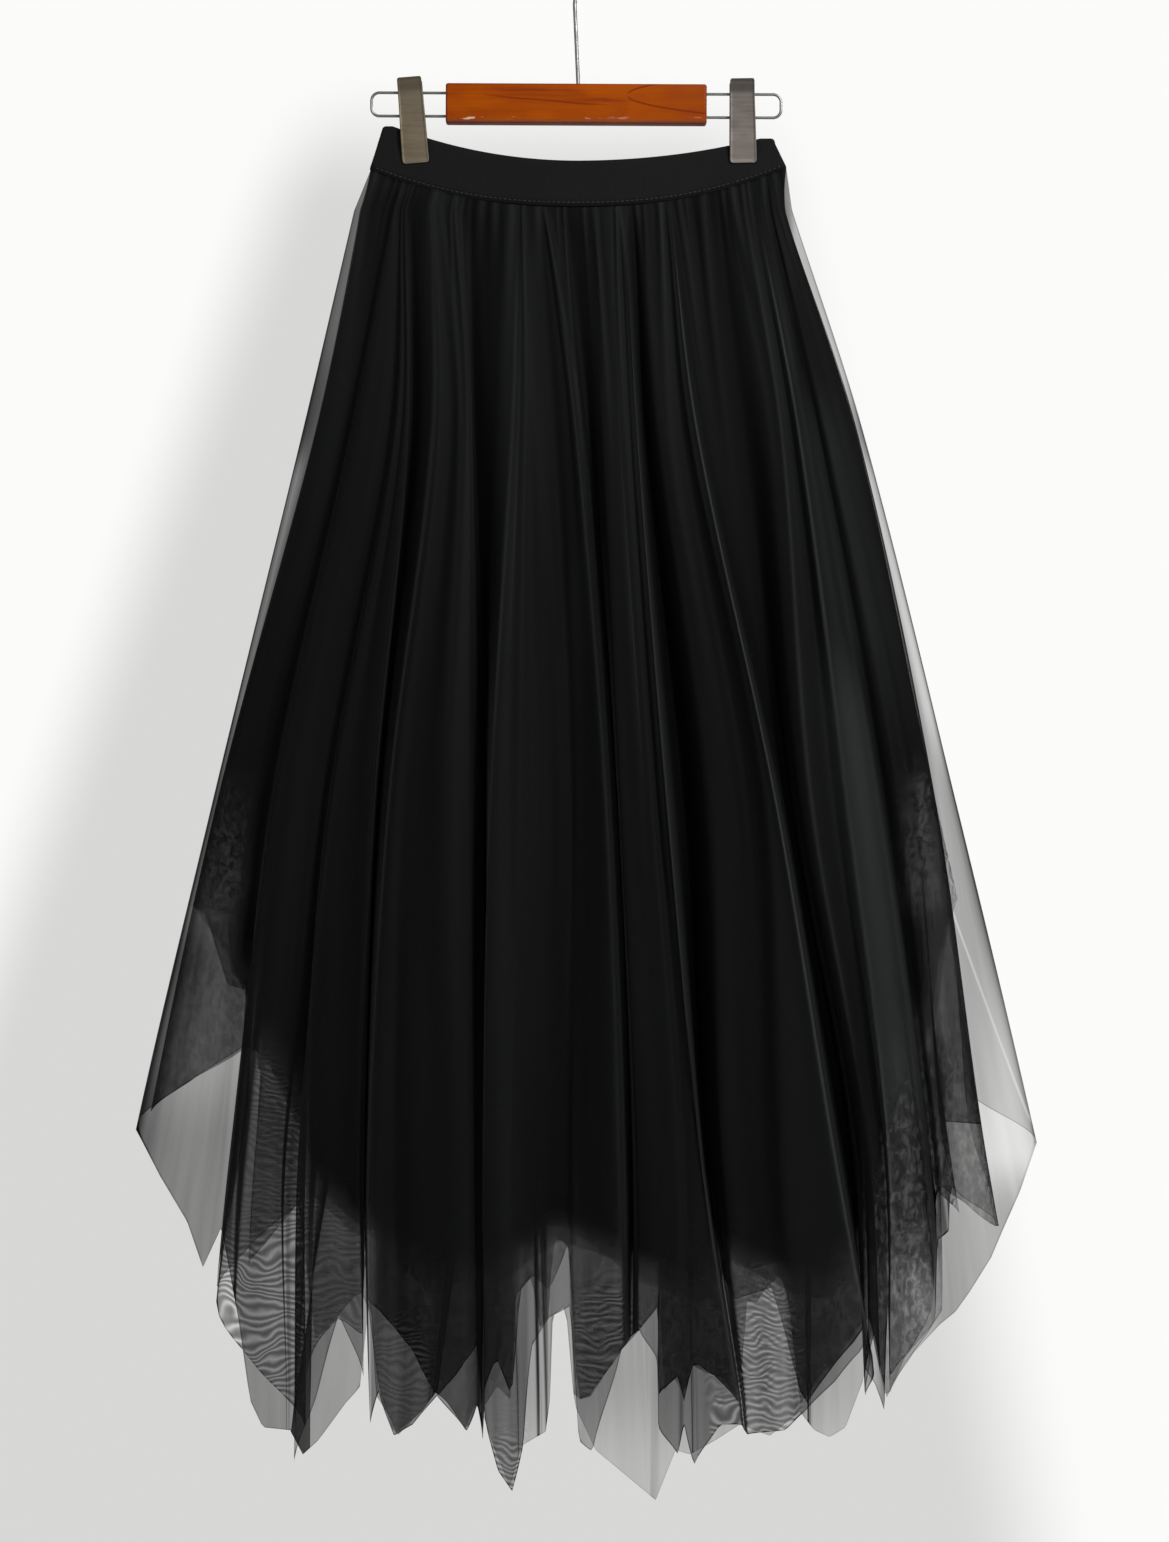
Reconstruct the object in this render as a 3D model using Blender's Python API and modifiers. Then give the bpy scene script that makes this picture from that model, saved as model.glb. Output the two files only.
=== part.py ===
import math

import bpy
from mathutils import Matrix, Vector

# Sizes are in metres. X runs to the right, Y away from the viewer and Z up.
# The origin is the inner top of the hook, where a rail carries the hanger.
PART_NAME = "tulle_skirt_on_clip_hanger"
MM = 0.001
SEAM_GAP = 0.0003
MERGE = 0.0001
SMOOTH_ANGLE = math.radians(40)

# Hanger: a wooden bar, a wire loop out of each end, and a wire hook.
BAR_LENGTH = 0.1825
BAR_HEIGHT = 0.0277
BAR_DEPTH = 0.0130
BAR_EDGE = 0.0018
BAR_TOP = -0.1122
BAR_MIDDLE_X = -0.0005
BAR_TILT = math.radians(0.27)
WIRE_RADIUS = 0.0010
LOOP_END_X = 0.1433
LOOP_CORNER = 0.0055
UPPER_ROD_DROP = 0.0061
LOWER_ROD_DROP = 0.0224
BORE_DEPTH = 0.0140
SEAT_DEPTH = 0.0125
HOOK_WIRE_RADIUS = 0.0014
HOOK_INNER_RADIUS = 0.0190
HOOK_FOOT_X = 0.0009
HOOK_SHAFT_X = -0.0016
HOOK_SHAFT_TOP = -0.0560
HOOK_START_ANGLE = math.radians(-50)
HOOK_END_ANGLE = math.radians(205)
HOOK_BEND_REACH = 0.0090
HOOK_BEND_STEPS = 7
HOOK_ARC_STEPS = 22
LOOP_CORNER_STEPS = 5
BORE_SIDES = 12

# Clips: two bowed plates on a barrel that slides along the upper rod.
# top_x and jaw_x are the plate's middle at its two ends.
CLIPS = (
    # side, top_x, top_z, jaw_x, jaw_z
    ("left", -0.1174, -0.1079, -0.1127, -0.1676),
    ("right", 0.1154, -0.1089, 0.1162, -0.1674),
)
CLIP_TOP_WIDTH = 0.0170
CLIP_JAW_WIDTH = 0.0188
CLIP_PLATE = 0.0010
# How far the plate's inner face stands from the middle plane, from top to jaw.
CLIP_BOW = (
    # share of the length, stand-off, share of the width
    (0.00, 0.0072, 0.90),
    (0.03, 0.0064, 1.00),
    (0.17, 0.0036, 1.00),
    (0.34, 0.0038, 1.00),
    (0.52, 0.0052, 1.00),
    (0.72, 0.0056, 1.00),
    (0.88, 0.0044, 1.00),
    (0.97, 0.0037, 0.94),
    (1.00, 0.0035, 0.80),
)
BARREL_OUTER = 0.0032
BARREL_LENGTH = 0.0130
BARREL_SIDES = 16
CLIP_COLUMNS = 4

# Waistband: a doubled elastic strip, flat, hanging in a curve between the clips.
BAND_WALL = 0.0030
BAND_COLUMNS = 24
BAND_ROWS = 2
BAND_CENTRE_TOP = -0.1660
BAND_CENTRE_SEAM = -0.1986
BAND_CURVE_TOP = 1.95
BAND_CURVE_SEAM = 2.2
BAND_CORNER = 0.0050
BAND_CORNER_SHARE = 0.06
BAND_ENDS = {
    "left": {"top_half": 0.1345, "seam_half": 0.1449, "top_rise": 0.0235, "seam_rise": 0.0263},
    "right": {"top_half": 0.1375, "seam_half": 0.1463, "top_rise": 0.0170, "seam_rise": 0.0275},
}
BAND_OPEN_HALF = 0.1000
BAND_OPENING = 0.0038

# Heights at which the folds of the skirt are placed.
HEIGHTS = {"waist": -0.200, "hip": -0.354, "knee": -0.613, "hem": -0.858, "tip": -1.100}

# Folds of the front, left to right, in millimetres. Relief is +1 on a full ridge and
# -1 in a full valley. The last column is the height at which the outer cloth ends there.
FRONT_FOLDS = (
    # name, relief, x at waist, x at hip, x at knee, x at hem, cloth end z
    ("side_seam_left", 0.00, -149.5, -191.5, -255.5, -312.5, -838),
    ("side_roll_left", 0.50, -146.5, -178.5, -241.5, -283.0, -812),
    ("valley_a", -0.60, -139.3, -173.6, -212.8, -242.0, -786),
    ("ridge_a", 0.65, -133.7, -157.5, -204.4, -229.0, -968),
    ("dip_a", 0.40, -129.5, -139.3, -181.3, -194.0, -1076),
    ("shoulder_a", 0.60, -123.9, -126.0, -150.5, -162.5, -1022),
    ("valley_b", -1.00, -116.9, -117.6, -137.2, -150.5, -968),
    ("ridge_b", 0.80, -109.9, -107.1, -129.5, -138.0, -1068),
    ("dip_b", 0.45, -98.7, -88.9, -109.2, -124.0, -1060),
    ("back_b", 0.50, -93.1, -82.6, -93.8, -98.7, -1034),
    ("shoulder_b", 0.75, -87.5, -76.3, -78.4, -81.9, -1052),
    ("valley_c", -1.00, -79.1, -69.3, -63.0, -70.7, -996),
    ("ridge_c", 0.85, -59.5, -44.1, -38.5, -43.4, -1096),
    ("dip_c", 0.40, -38.5, -28.0, -3.5, -1.4, -995),
    ("shoulder_c", 0.80, -24.5, -4.2, 18.9, 17.5, -1070),
    ("valley_d", -0.60, -17.5, 2.8, 28.0, 38.5, -988),
    ("ridge_d", 0.90, 10.5, 31.5, 58.1, 82.6, -1074),
    ("valley_e", -1.00, 31.5, 46.2, 69.3, 94.5, -1053),
    ("ridge_e", 0.70, 45.5, 68.6, 105.0, 132.3, -1068),
    ("dip_e", 0.40, 52.5, 74.9, 119.0, 144.9, -1033),
    ("shoulder_e", 0.95, 63.7, 84.0, 138.6, 177.1, -1050),
    ("valley_f", -0.80, 82.6, 110.6, 149.1, 186.2, -1014),
    ("ridge_f", 0.30, 101.5, 135.1, 168.7, 198.5, -1030),
    ("dip_f", 0.10, 108.5, 142.8, 176.4, 206.5, -1016),
    ("ridge_g", 0.80, 118.3, 155.4, 189.0, 220.5, -1038),
    ("dip_g", 0.55, 122.5, 160.3, 196.7, 228.5, -1022),
    ("shoulder_g", 0.75, 128.1, 165.9, 206.5, 239.0, -980),
    ("valley_h", -0.70, 133.7, 172.9, 218.4, 249.5, -904),
    ("side_roll_right", 0.60, 142.2, 187.0, 242.5, 283.5, -913),
    ("valley_i", -0.20, 146.6, 193.5, 254.5, 300.0, -815),
    ("side_seam_right", 0.00, 150.4, 199.5, 265.3, 322.7, -851),
)

# Depth of the skirt's layers, in millimetres, from the middle plane.
LAYER_DEPTHS = (
    # height, depth of the lining, relief of the outer cloth, room between layers
    ("waist", 4.5, 0.6, 1.5),
    ("hip", 12.0, 7.0, 2.5),
    ("knee", 25.0, 17.0, 3.5),
    ("hem", 36.0, 26.0, 4.0),
    ("tip", 44.0, 30.0, 4.0),
)
LAYERS = {
    # layer: rooms out from the lining, share of the relief, wall, inset at the sides, fold steps
    "lining": (0.0, 0.20, 0.0010, 0.0120, 1),
    "inner_tulle": (1.0, 0.40, 0.0010, 0.0050, 1),
    "outer_tulle": (2.6, 1.00, 0.0013, 0.0000, 3),
}
# Stand-off of each layer's middle from the band's inner face, at the waist seam.
WAIST_STAND_OFF = {"lining": 0.0006, "inner_tulle": 0.0022, "outer_tulle": 0.0051}
WAIST_PINCH = 0.045
GATHERS = 45
GATHER_RELIEF = 0.0012
GATHER_LENGTH = 0.075
GATHER_ROUNDNESS = 6.0
SIDE_ROUNDNESS = 2.3
WAIST_ROUNDNESS = 8.0
# An inner layer is drawn in at the sides, by this share at the waist, fully lower down.
INSET_AT_WAIST = 0.5
INSET_REACH = 0.2
BELOW_LAST = 0.7
INNER_HEM_LIFT = 0.012
# All layers share these rows, then have two more down to their own hems.
SHARED_ROWS = (-0.235, -0.290, -0.370, -0.480, -0.620, -0.750)
LEAST_ROW = 0.012

# The lining is long in the middle and short at the sides.
LINING_MIDDLE_HEM = -0.945
LINING_SIDE_RISE = 0.262
LINING_FLAT_SHARE = 0.55
LINING_POINTS = 7
LINING_POINT_DEPTH = 0.012
LINING_SLOPE_CURVE = 1.2

# Colours are linear, with roughness and metallic value.
FINISHES = {
    "varnished_cherry": ((0.30, 0.085, 0.028), 0.30, 0.0),
    "steel_wire": ((0.42, 0.41, 0.39), 0.32, 1.0),
    "clip_steel": ((0.36, 0.33, 0.29), 0.38, 1.0),
    "band_elastic": ((0.010, 0.010, 0.011), 0.85, 0.0),
    "black_tulle": ((0.014, 0.014, 0.015), 0.70, 0.0),
    "black_lining": ((0.008, 0.008, 0.009), 0.80, 0.0),
}


def clear_scene():
    for item in list(bpy.data.objects):
        bpy.data.objects.remove(item, do_unlink=True)


def new_collection(name):
    collection = bpy.data.collections.new(name)
    bpy.context.scene.collection.children.link(collection)
    return collection


def new_material(name, finish):
    colour, roughness, metallic = FINISHES[finish]
    material = bpy.data.materials.new(name)
    material.use_nodes = True
    shader = material.node_tree.nodes["Principled BSDF"]
    shader.inputs["Base Color"].default_value = (*colour, 1.0)
    shader.inputs["Roughness"].default_value = roughness
    shader.inputs["Metallic"].default_value = metallic
    material.diffuse_color = (*colour, 1.0)
    return material


def place(name, data, collection, finish, parent=None):
    item = bpy.data.objects.new(name, data)
    collection.objects.link(item)
    data.materials.append(new_material(name + "_finish", finish))
    item.parent = parent
    return item


def smooth_mesh(mesh):
    mesh.shade_smooth()
    mesh.set_sharp_from_angle(angle=SMOOTH_ANGLE)


# A wall of cloth or sheet metal is a loft through rows of points, given its thickness.
def wall(name, rows, thickness, collection, finish, faces_back=False):
    row_count = len(rows)
    column_count = len(rows[0])
    points = [tuple(point) for row in rows for point in row]
    faces = []
    for i in range(row_count - 1):
        for j in range(column_count - 1):
            corner = i * column_count + j
            face = (corner, corner + column_count, corner + column_count + 1, corner + 1)
            faces.append(face[::-1] if faces_back else face)
    mesh = bpy.data.meshes.new(name)
    mesh.from_pydata(points, [], faces)
    smooth_mesh(mesh)
    item = place(name, mesh, collection, finish)
    solid = item.modifiers.new("thickness", "SOLIDIFY")
    solid.thickness = thickness
    solid.offset = 0.0


# A smooth curve through values at falling heights, held level above the first one and
# straighter below the last one.
def value_at(z, heights, values):
    if z >= heights[0]:
        return values[0]
    slopes = []
    last = len(values) - 1
    for i in range(len(values)):
        before, after = max(i - 1, 0), min(i + 1, last)
        slopes.append((values[after] - values[before]) / (heights[after] - heights[before]))
    if z <= heights[last]:
        return values[last] + BELOW_LAST * slopes[last] * (z - heights[last])
    i = next(k for k in range(last) if z > heights[k + 1])
    span = heights[i + 1] - heights[i]
    t = (z - heights[i]) / span
    return (
        values[i] * (1 + 2 * t) * (1 - t) ** 2
        + slopes[i] * span * t * (1 - t) ** 2
        + values[i + 1] * t * t * (3 - 2 * t)
        + slopes[i + 1] * span * t * t * (t - 1)
    )


# Columns of the table of folds.
RELIEF = 1
X_COLUMNS = range(2, 6)
CLOTH_END = 6
FOLD_HEIGHTS = [HEIGHTS[name] for name in ("waist", "hip", "knee", "hem")]
DEPTH_HEIGHTS = [HEIGHTS[row[0]] for row in LAYER_DEPTHS]
SPANS = len(FRONT_FOLDS) - 1


def lerp(a, b, t):
    return a + (b - a) * t


# One fold line of the front or the back. The back has the front's folds in reverse
# order, as shares of the width between the same two side seams.
class FoldLine:
    def __init__(self, index, side):
        first, last = FRONT_FOLDS[0], FRONT_FOLDS[-1]
        row = FRONT_FOLDS[index if side == "front" else SPANS - index]
        self.relief = row[RELIEF]
        self.end = row[CLOTH_END] * MM
        self.x = []
        for column in X_COLUMNS:
            left, right = first[column], last[column]
            share = (row[column] - left) / (right - left)
            if side == "back":
                share = 1.0 - share
            self.x.append(lerp(left, right, share) * MM)
        if side == "back" and index in (0, SPANS):
            self.end = (first if index == 0 else last)[CLOTH_END] * MM


LINES = {side: [FoldLine(i, side) for i in range(SPANS + 1)] for side in ("front", "back")}


# Half width of the skirt on the side that x lies on, from its side seam.
def half_width(x, z):
    seam = LINES["front"][0 if x < 0 else SPANS]
    return abs(value_at(z, FOLD_HEIGHTS, seam.x))


def superellipse(share, power):
    return max(0.0, 1.0 - min(1.0, abs(share)) ** power) ** (1.0 / power)


def band_seam_z(x):
    end = BAND_ENDS["left" if x < 0 else "right"]
    share = min(1.0, abs(x) / end["seam_half"])
    return BAND_CENTRE_SEAM + end["seam_rise"] * share**BAND_CURVE_SEAM


# Depth of the band's inner face: pressed flat at the clips and open between them.
def band_inner_face(x):
    share = min(1.0, abs(x) / BAND_OPEN_HALF)
    return SEAM_GAP / 2 + BAND_OPENING * (1.0 - share * share) ** 2


# Middle depth and relief of a layer at a height, in metres.
def layer_depth(layer, z):
    rooms, relief_share = LAYERS[layer][:2]
    lining_depth = value_at(z, DEPTH_HEIGHTS, [row[1] for row in LAYER_DEPTHS])
    full_relief = value_at(z, DEPTH_HEIGHTS, [row[2] for row in LAYER_DEPTHS])
    room = value_at(z, DEPTH_HEIGHTS, [row[3] for row in LAYER_DEPTHS])
    least_share = LAYERS["lining"][1]
    depth = lining_depth + full_relief * (relief_share - least_share) + room * rooms
    return depth * MM, full_relief * relief_share * MM


# A point of a layer: u counts fold lines from the left seam, z is the height.
def layer_point(layer, side, u, z):
    k = min(int(u), SPANS - 1)
    f = u - k
    f_across = f
    if k == 0:
        f_across = f * f
    if k == SPANS - 1:
        f_across = 1.0 - (1.0 - f) ** 2
    here, beyond = LINES[side][k], LINES[side][k + 1]
    x = lerp(value_at(z, FOLD_HEIGHTS, here.x), value_at(z, FOLD_HEIGHTS, beyond.x), f_across)
    relief = lerp(here.relief, beyond.relief, (1.0 - math.cos(math.pi * f)) / 2)
    half = half_width(x, z)
    share = x / half
    depth, relief_depth = layer_depth(layer, z)
    rounded = superellipse(share, SIDE_ROUNDNESS)
    hanging = (depth + relief_depth * relief) * rounded
    below = max(0.0, band_seam_z(x) - z)
    at_seam = (band_inner_face(x) + WAIST_STAND_OFF[layer]) * superellipse(share, WAIST_ROUNDNESS)
    pinch = math.exp(-((below / WAIST_PINCH) ** 2))
    y = lerp(hanging, at_seam, pinch)
    if layer == "outer_tulle":
        wave = GATHER_RELIEF * math.cos(2 * math.pi * GATHERS * u / SPANS)
        y += wave * math.exp(-below / GATHER_LENGTH) * superellipse(share, GATHER_ROUNDNESS)
    inset = LAYERS[layer][3] * min(1.0, INSET_AT_WAIST + below / INSET_REACH)
    x *= 1.0 - inset / half
    return x, (-y if side == "front" else y), z


# Height at which a layer's cloth ends, along u.
def cloth_end(layer, side, u):
    if layer == "lining":
        share = abs(2.0 * u / SPANS - 1.0)
        slope = max(0.0, (share - LINING_FLAT_SHARE) / (1.0 - LINING_FLAT_SHARE))
        points = abs((u / SPANS * LINING_POINTS) % 1.0 * 2.0 - 1.0) * LINING_POINT_DEPTH
        rise = LINING_SIDE_RISE * slope**LINING_SLOPE_CURVE
        return LINING_MIDDLE_HEM + rise + points * (1.0 - slope)
    # The inner tulle has the other side's points, so that its tips hang between these.
    cut = side
    if layer == "inner_tulle":
        cut = "back" if side == "front" else "front"
    k = min(int(u), SPANS - 1)
    end = lerp(LINES[cut][k].end, LINES[cut][k + 1].end, u - k)
    return end + (INNER_HEM_LIFT if layer == "inner_tulle" else 0.0)


# Heights of a column's rows, never closer than the least row near a high hem.
def row_heights(top, end):
    heights = [top]
    for i, shared in enumerate(SHARED_ROWS):
        rows_below = len(SHARED_ROWS) + 1 - i
        heights.append(max(shared, end + rows_below * LEAST_ROW))
    return [*heights, (heights[-1] + end) / 2, end]


# The edge at a side seam stands clear of the other panel by the seam's gap, whichever
# way the wall faces there.
def seat_at_seam(grid, end, beside, half_wall):
    last = len(grid) - 1
    seated = []
    for i, row in enumerate(grid):
        edge = Vector(row[end])
        across = Vector(row[beside]) - edge
        down = Vector(grid[min(i + 1, last)][end]) - Vector(grid[max(i - 1, 0)][end])
        normal = across.cross(down).normalized()
        setback = SEAM_GAP / 2 + half_wall * abs(normal.y)
        seated.append((edge.x, math.copysign(setback, row[beside][1]), edge.z))
    for row, point in zip(grid, seated):
        row[end] = point


def panel(layer, side, collection, finish):
    wall_thickness, steps = LAYERS[layer][2], LAYERS[layer][4]
    grid = [[] for _ in range(len(SHARED_ROWS) + 3)]
    for j in range(SPANS * steps + 1):
        u = j / steps
        x_top = layer_point(layer, side, u, HEIGHTS["waist"])[0]
        heights = row_heights(band_seam_z(x_top) - SEAM_GAP, cloth_end(layer, side, u))
        for row, z in zip(grid, heights):
            row.append(layer_point(layer, side, u, z))
    seat_at_seam(grid, 0, 1, wall_thickness / 2)
    seat_at_seam(grid, -1, -2, wall_thickness / 2)
    wall(f"{layer}_{side}", grid, wall_thickness, collection, finish, side == "back")


def waistband(side, collection):
    grid = []
    for i in range(BAND_ROWS + 1):
        t = i / BAND_ROWS
        row = []
        for j in range(BAND_COLUMNS + 1):
            s = 2.0 * j / BAND_COLUMNS - 1.0
            end = BAND_ENDS["left" if s < 0 else "right"]
            x = s * lerp(end["top_half"], end["seam_half"], t)
            corner = max(0.0, (abs(s) - 1.0 + BAND_CORNER_SHARE) / BAND_CORNER_SHARE)
            top = BAND_CENTRE_TOP + end["top_rise"] * abs(s) ** BAND_CURVE_TOP
            top -= BAND_CORNER * (1.0 - math.sqrt(1.0 - corner * corner))
            seam = band_seam_z(s * end["seam_half"])
            y = band_inner_face(x) + BAND_WALL / 2
            row.append((x, -y if side == "front" else y, lerp(top, seam, t)))
        grid.append(row)
    wall(f"waistband_{side}", grid, BAND_WALL, collection, "band_elastic", side == "back")


def wire(name, points, radius, collection, finish, parent=None):
    curve = bpy.data.curves.new(name, "CURVE")
    curve.dimensions = "3D"
    curve.bevel_depth = radius
    curve.bevel_resolution = 2
    curve.use_fill_caps = True
    spline = curve.splines.new("POLY")
    spline.points.add(len(points) - 1)
    for target, point in zip(spline.points, points):
        target.co = (*point, 1.0)
    return place(name, curve, collection, finish, parent)


def arc(centre_x, centre_z, radius, start, end, steps):
    points = []
    for i in range(steps + 1):
        angle = lerp(start, end, i / steps)
        x = centre_x + radius * math.cos(angle)
        points.append((x, 0.0, centre_z + radius * math.sin(angle)))
    return points


# A smooth bend between two points, leaving and arriving along the given directions.
def bend(start, leaving, end, arriving, reach, steps):
    points = []
    for i in range(1, steps):
        t = i / steps
        weights = ((1 - t) ** 3, 3 * t * (1 - t) ** 2, 3 * t * t * (1 - t), t**3)
        x_values = (start[0], start[0] + reach * leaving[0], end[0] - reach * arriving[0], end[0])
        z_values = (start[1], start[1] + reach * leaving[1], end[1] - reach * arriving[1], end[1])
        x = sum(w * v for w, v in zip(weights, x_values))
        z = sum(w * v for w, v in zip(weights, z_values))
        points.append((x, 0.0, z))
    return points


def bore(name, centre, along_x, radius, cutters, parent):
    bpy.ops.mesh.primitive_cylinder_add(vertices=BORE_SIDES, radius=radius, depth=2 * BORE_DEPTH)
    cutter = bpy.context.object
    cutter.name = name
    cutter.location = centre
    cutter.rotation_euler = (0.0, math.pi / 2 if along_x else 0.0, 0.0)
    cutter.parent = parent
    cutter.hide_render = True
    cutter.display_type = "WIRE"
    for owner in list(cutter.users_collection):
        owner.objects.unlink(cutter)
    cutters.objects.link(cutter)
    return cutter


# The bar, its loops and its bores turn together by the slight tilt of the hanger.
def hanger(collection, cutters):
    tilt = bpy.data.objects.new("hanger_tilt", None)
    tilt.location = (BAR_MIDDLE_X, 0.0, BAR_TOP)
    tilt.rotation_euler = (0.0, BAR_TILT, 0.0)
    collection.objects.link(tilt)

    bpy.ops.mesh.primitive_cube_add(size=1.0)
    made = bpy.context.object
    mesh = made.data
    bpy.data.objects.remove(made)
    mesh.transform(Matrix.Diagonal((BAR_LENGTH, BAR_DEPTH, BAR_HEIGHT, 1.0)))
    bar = place("hanger_bar", mesh, collection, "varnished_cherry", tilt)
    bar.location = (0.0, 0.0, -BAR_HEIGHT / 2)
    edge = bar.modifiers.new("rounded_edges", "BEVEL")
    edge.width = BAR_EDGE
    edge.segments = 2
    edge.limit_method = "ANGLE"

    bore_radius = WIRE_RADIUS + SEAM_GAP
    cuts = [bore("hook_bore", (HOOK_FOOT_X - BAR_MIDDLE_X, 0.0, 0.0), False,
                 HOOK_WIRE_RADIUS + SEAM_GAP, cutters, tilt)]
    for side, sign in (("left", -1), ("right", 1)):
        for rod, drop in (("upper", UPPER_ROD_DROP), ("lower", LOWER_ROD_DROP)):
            centre = (sign * BAR_LENGTH / 2, 0.0, -drop)
            cuts.append(bore(f"bore_{side}_{rod}", centre, True, bore_radius, cutters, tilt))
    for cutter in cuts:
        cut = bar.modifiers.new(cutter.name, "BOOLEAN")
        cut.operation = "DIFFERENCE"
        cut.object = cutter

    inside = BAR_LENGTH / 2 - SEAT_DEPTH
    turn_x = LOOP_END_X - LOOP_CORNER
    for side, sign in (("left", -1), ("right", 1)):
        quarter, steps = math.pi / 2, LOOP_CORNER_STEPS
        upper = arc(turn_x, -UPPER_ROD_DROP - LOOP_CORNER, LOOP_CORNER, quarter, 0.0, steps)
        lower = arc(turn_x, -LOWER_ROD_DROP + LOOP_CORNER, LOOP_CORNER, 0.0, -quarter, steps)
        path = [(inside, 0.0, -UPPER_ROD_DROP), *upper, *lower, (inside, 0.0, -LOWER_ROD_DROP)]
        path = [(sign * x, y, z) for x, y, z in path]
        wire(f"hanger_wire_{side}", path, WIRE_RADIUS, collection, "steel_wire", tilt)


def hook(collection):
    radius = HOOK_INNER_RADIUS + HOOK_WIRE_RADIUS
    centre_z = -HOOK_INNER_RADIUS
    start = HOOK_START_ANGLE
    on_circle = (radius * math.cos(start), centre_z + radius * math.sin(start))
    arriving = (-math.sin(start), math.cos(start))
    shaft_top = (HOOK_SHAFT_X, HOOK_SHAFT_TOP)
    path = [
        (HOOK_FOOT_X, 0.0, BAR_TOP - SEAT_DEPTH),
        (HOOK_FOOT_X, 0.0, BAR_TOP - HOOK_WIRE_RADIUS),
        (HOOK_SHAFT_X, 0.0, HOOK_SHAFT_TOP),
        *bend(shaft_top, (0.0, 1.0), on_circle, arriving, HOOK_BEND_REACH, HOOK_BEND_STEPS),
        *arc(0.0, centre_z, radius, start, HOOK_END_ANGLE, HOOK_ARC_STEPS),
    ]
    wire("hanger_hook", path, HOOK_WIRE_RADIUS, collection, "steel_wire")


# Height of the upper rod's middle at x, with the hanger's tilt.
def upper_rod_z(x):
    run = x - BAR_MIDDLE_X
    return BAR_TOP - UPPER_ROD_DROP * math.cos(BAR_TILT) - run * math.tan(BAR_TILT)


def clip(side, top, jaw, collection):
    length = math.dist(top, jaw)
    along = ((jaw[0] - top[0]) / length, (jaw[1] - top[1]) / length)
    across = (-along[1], along[0])
    for face, sign in (("front", -1), ("back", 1)):
        rows = []
        for share, stand_off, width_share in CLIP_BOW:
            width = lerp(CLIP_TOP_WIDTH, CLIP_JAW_WIDTH, share) * width_share
            row = []
            for k in range(CLIP_COLUMNS + 1):
                w = (k / CLIP_COLUMNS - 0.5) * width
                x = top[0] + along[0] * share * length + across[0] * w
                z = top[1] + along[1] * share * length + across[1] * w
                row.append((x, sign * (stand_off + CLIP_PLATE / 2), z))
            rows.append(row)
        name = f"clip_{side}_{face}_plate"
        wall(name, rows, CLIP_PLATE, collection, "clip_steel", face == "back")

    # The barrel is a short sleeve turned about the rod.
    outer, inner, half = BARREL_OUTER, WIRE_RADIUS + SEAM_GAP, BARREL_LENGTH / 2
    profile = [(outer, 0.0, half), (outer, 0.0, -half), (inner, 0.0, -half), (inner, 0.0, half)]
    mesh = bpy.data.meshes.new(f"clip_{side}_barrel")
    mesh.from_pydata(profile, [(0, 1), (1, 2), (2, 3), (3, 0)], [])
    barrel = place(f"clip_{side}_barrel", mesh, collection, "clip_steel")
    reach = (upper_rod_z(top[0]) - top[1]) / along[1]
    x = top[0] + along[0] * reach
    barrel.location = (x, 0.0, upper_rod_z(x))
    barrel.rotation_euler = (0.0, math.pi / 2 + BAR_TILT, 0.0)
    turned = barrel.modifiers.new("turned", "SCREW")
    turned.angle = 2 * math.pi
    turned.steps = BARREL_SIDES
    turned.render_steps = BARREL_SIDES
    turned.use_merge_vertices = True
    turned.merge_threshold = MERGE


clear_scene()
skirt_collection = new_collection(PART_NAME)
cutter_collection = new_collection("cutters")
hanger(skirt_collection, cutter_collection)
hook(skirt_collection)
for clip_side, clip_top_x, clip_top_z, clip_jaw_x, clip_jaw_z in CLIPS:
    clip(clip_side, (clip_top_x, clip_top_z), (clip_jaw_x, clip_jaw_z), skirt_collection)
for panel_side in ("front", "back"):
    waistband(panel_side, skirt_collection)
    panel("outer_tulle", panel_side, skirt_collection, "black_tulle")
    panel("inner_tulle", panel_side, skirt_collection, "black_tulle")
    panel("lining", panel_side, skirt_collection, "black_lining")
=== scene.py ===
import math
import random

import bmesh
import bpy
import numpy as np
from mathutils import Matrix, Vector


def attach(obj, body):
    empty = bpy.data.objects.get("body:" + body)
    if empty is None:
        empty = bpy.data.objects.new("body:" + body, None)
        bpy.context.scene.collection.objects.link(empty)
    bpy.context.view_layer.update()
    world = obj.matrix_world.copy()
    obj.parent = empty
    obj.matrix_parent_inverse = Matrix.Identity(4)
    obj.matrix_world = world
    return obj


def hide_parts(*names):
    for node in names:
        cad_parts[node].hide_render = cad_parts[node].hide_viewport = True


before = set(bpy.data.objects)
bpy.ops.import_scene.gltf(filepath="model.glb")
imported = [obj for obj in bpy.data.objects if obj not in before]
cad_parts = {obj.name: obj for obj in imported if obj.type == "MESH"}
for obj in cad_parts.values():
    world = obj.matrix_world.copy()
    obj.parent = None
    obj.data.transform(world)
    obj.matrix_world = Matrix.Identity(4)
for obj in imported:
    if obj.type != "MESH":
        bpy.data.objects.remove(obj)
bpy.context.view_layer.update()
mm = 0.001
print("frame loaded")

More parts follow.
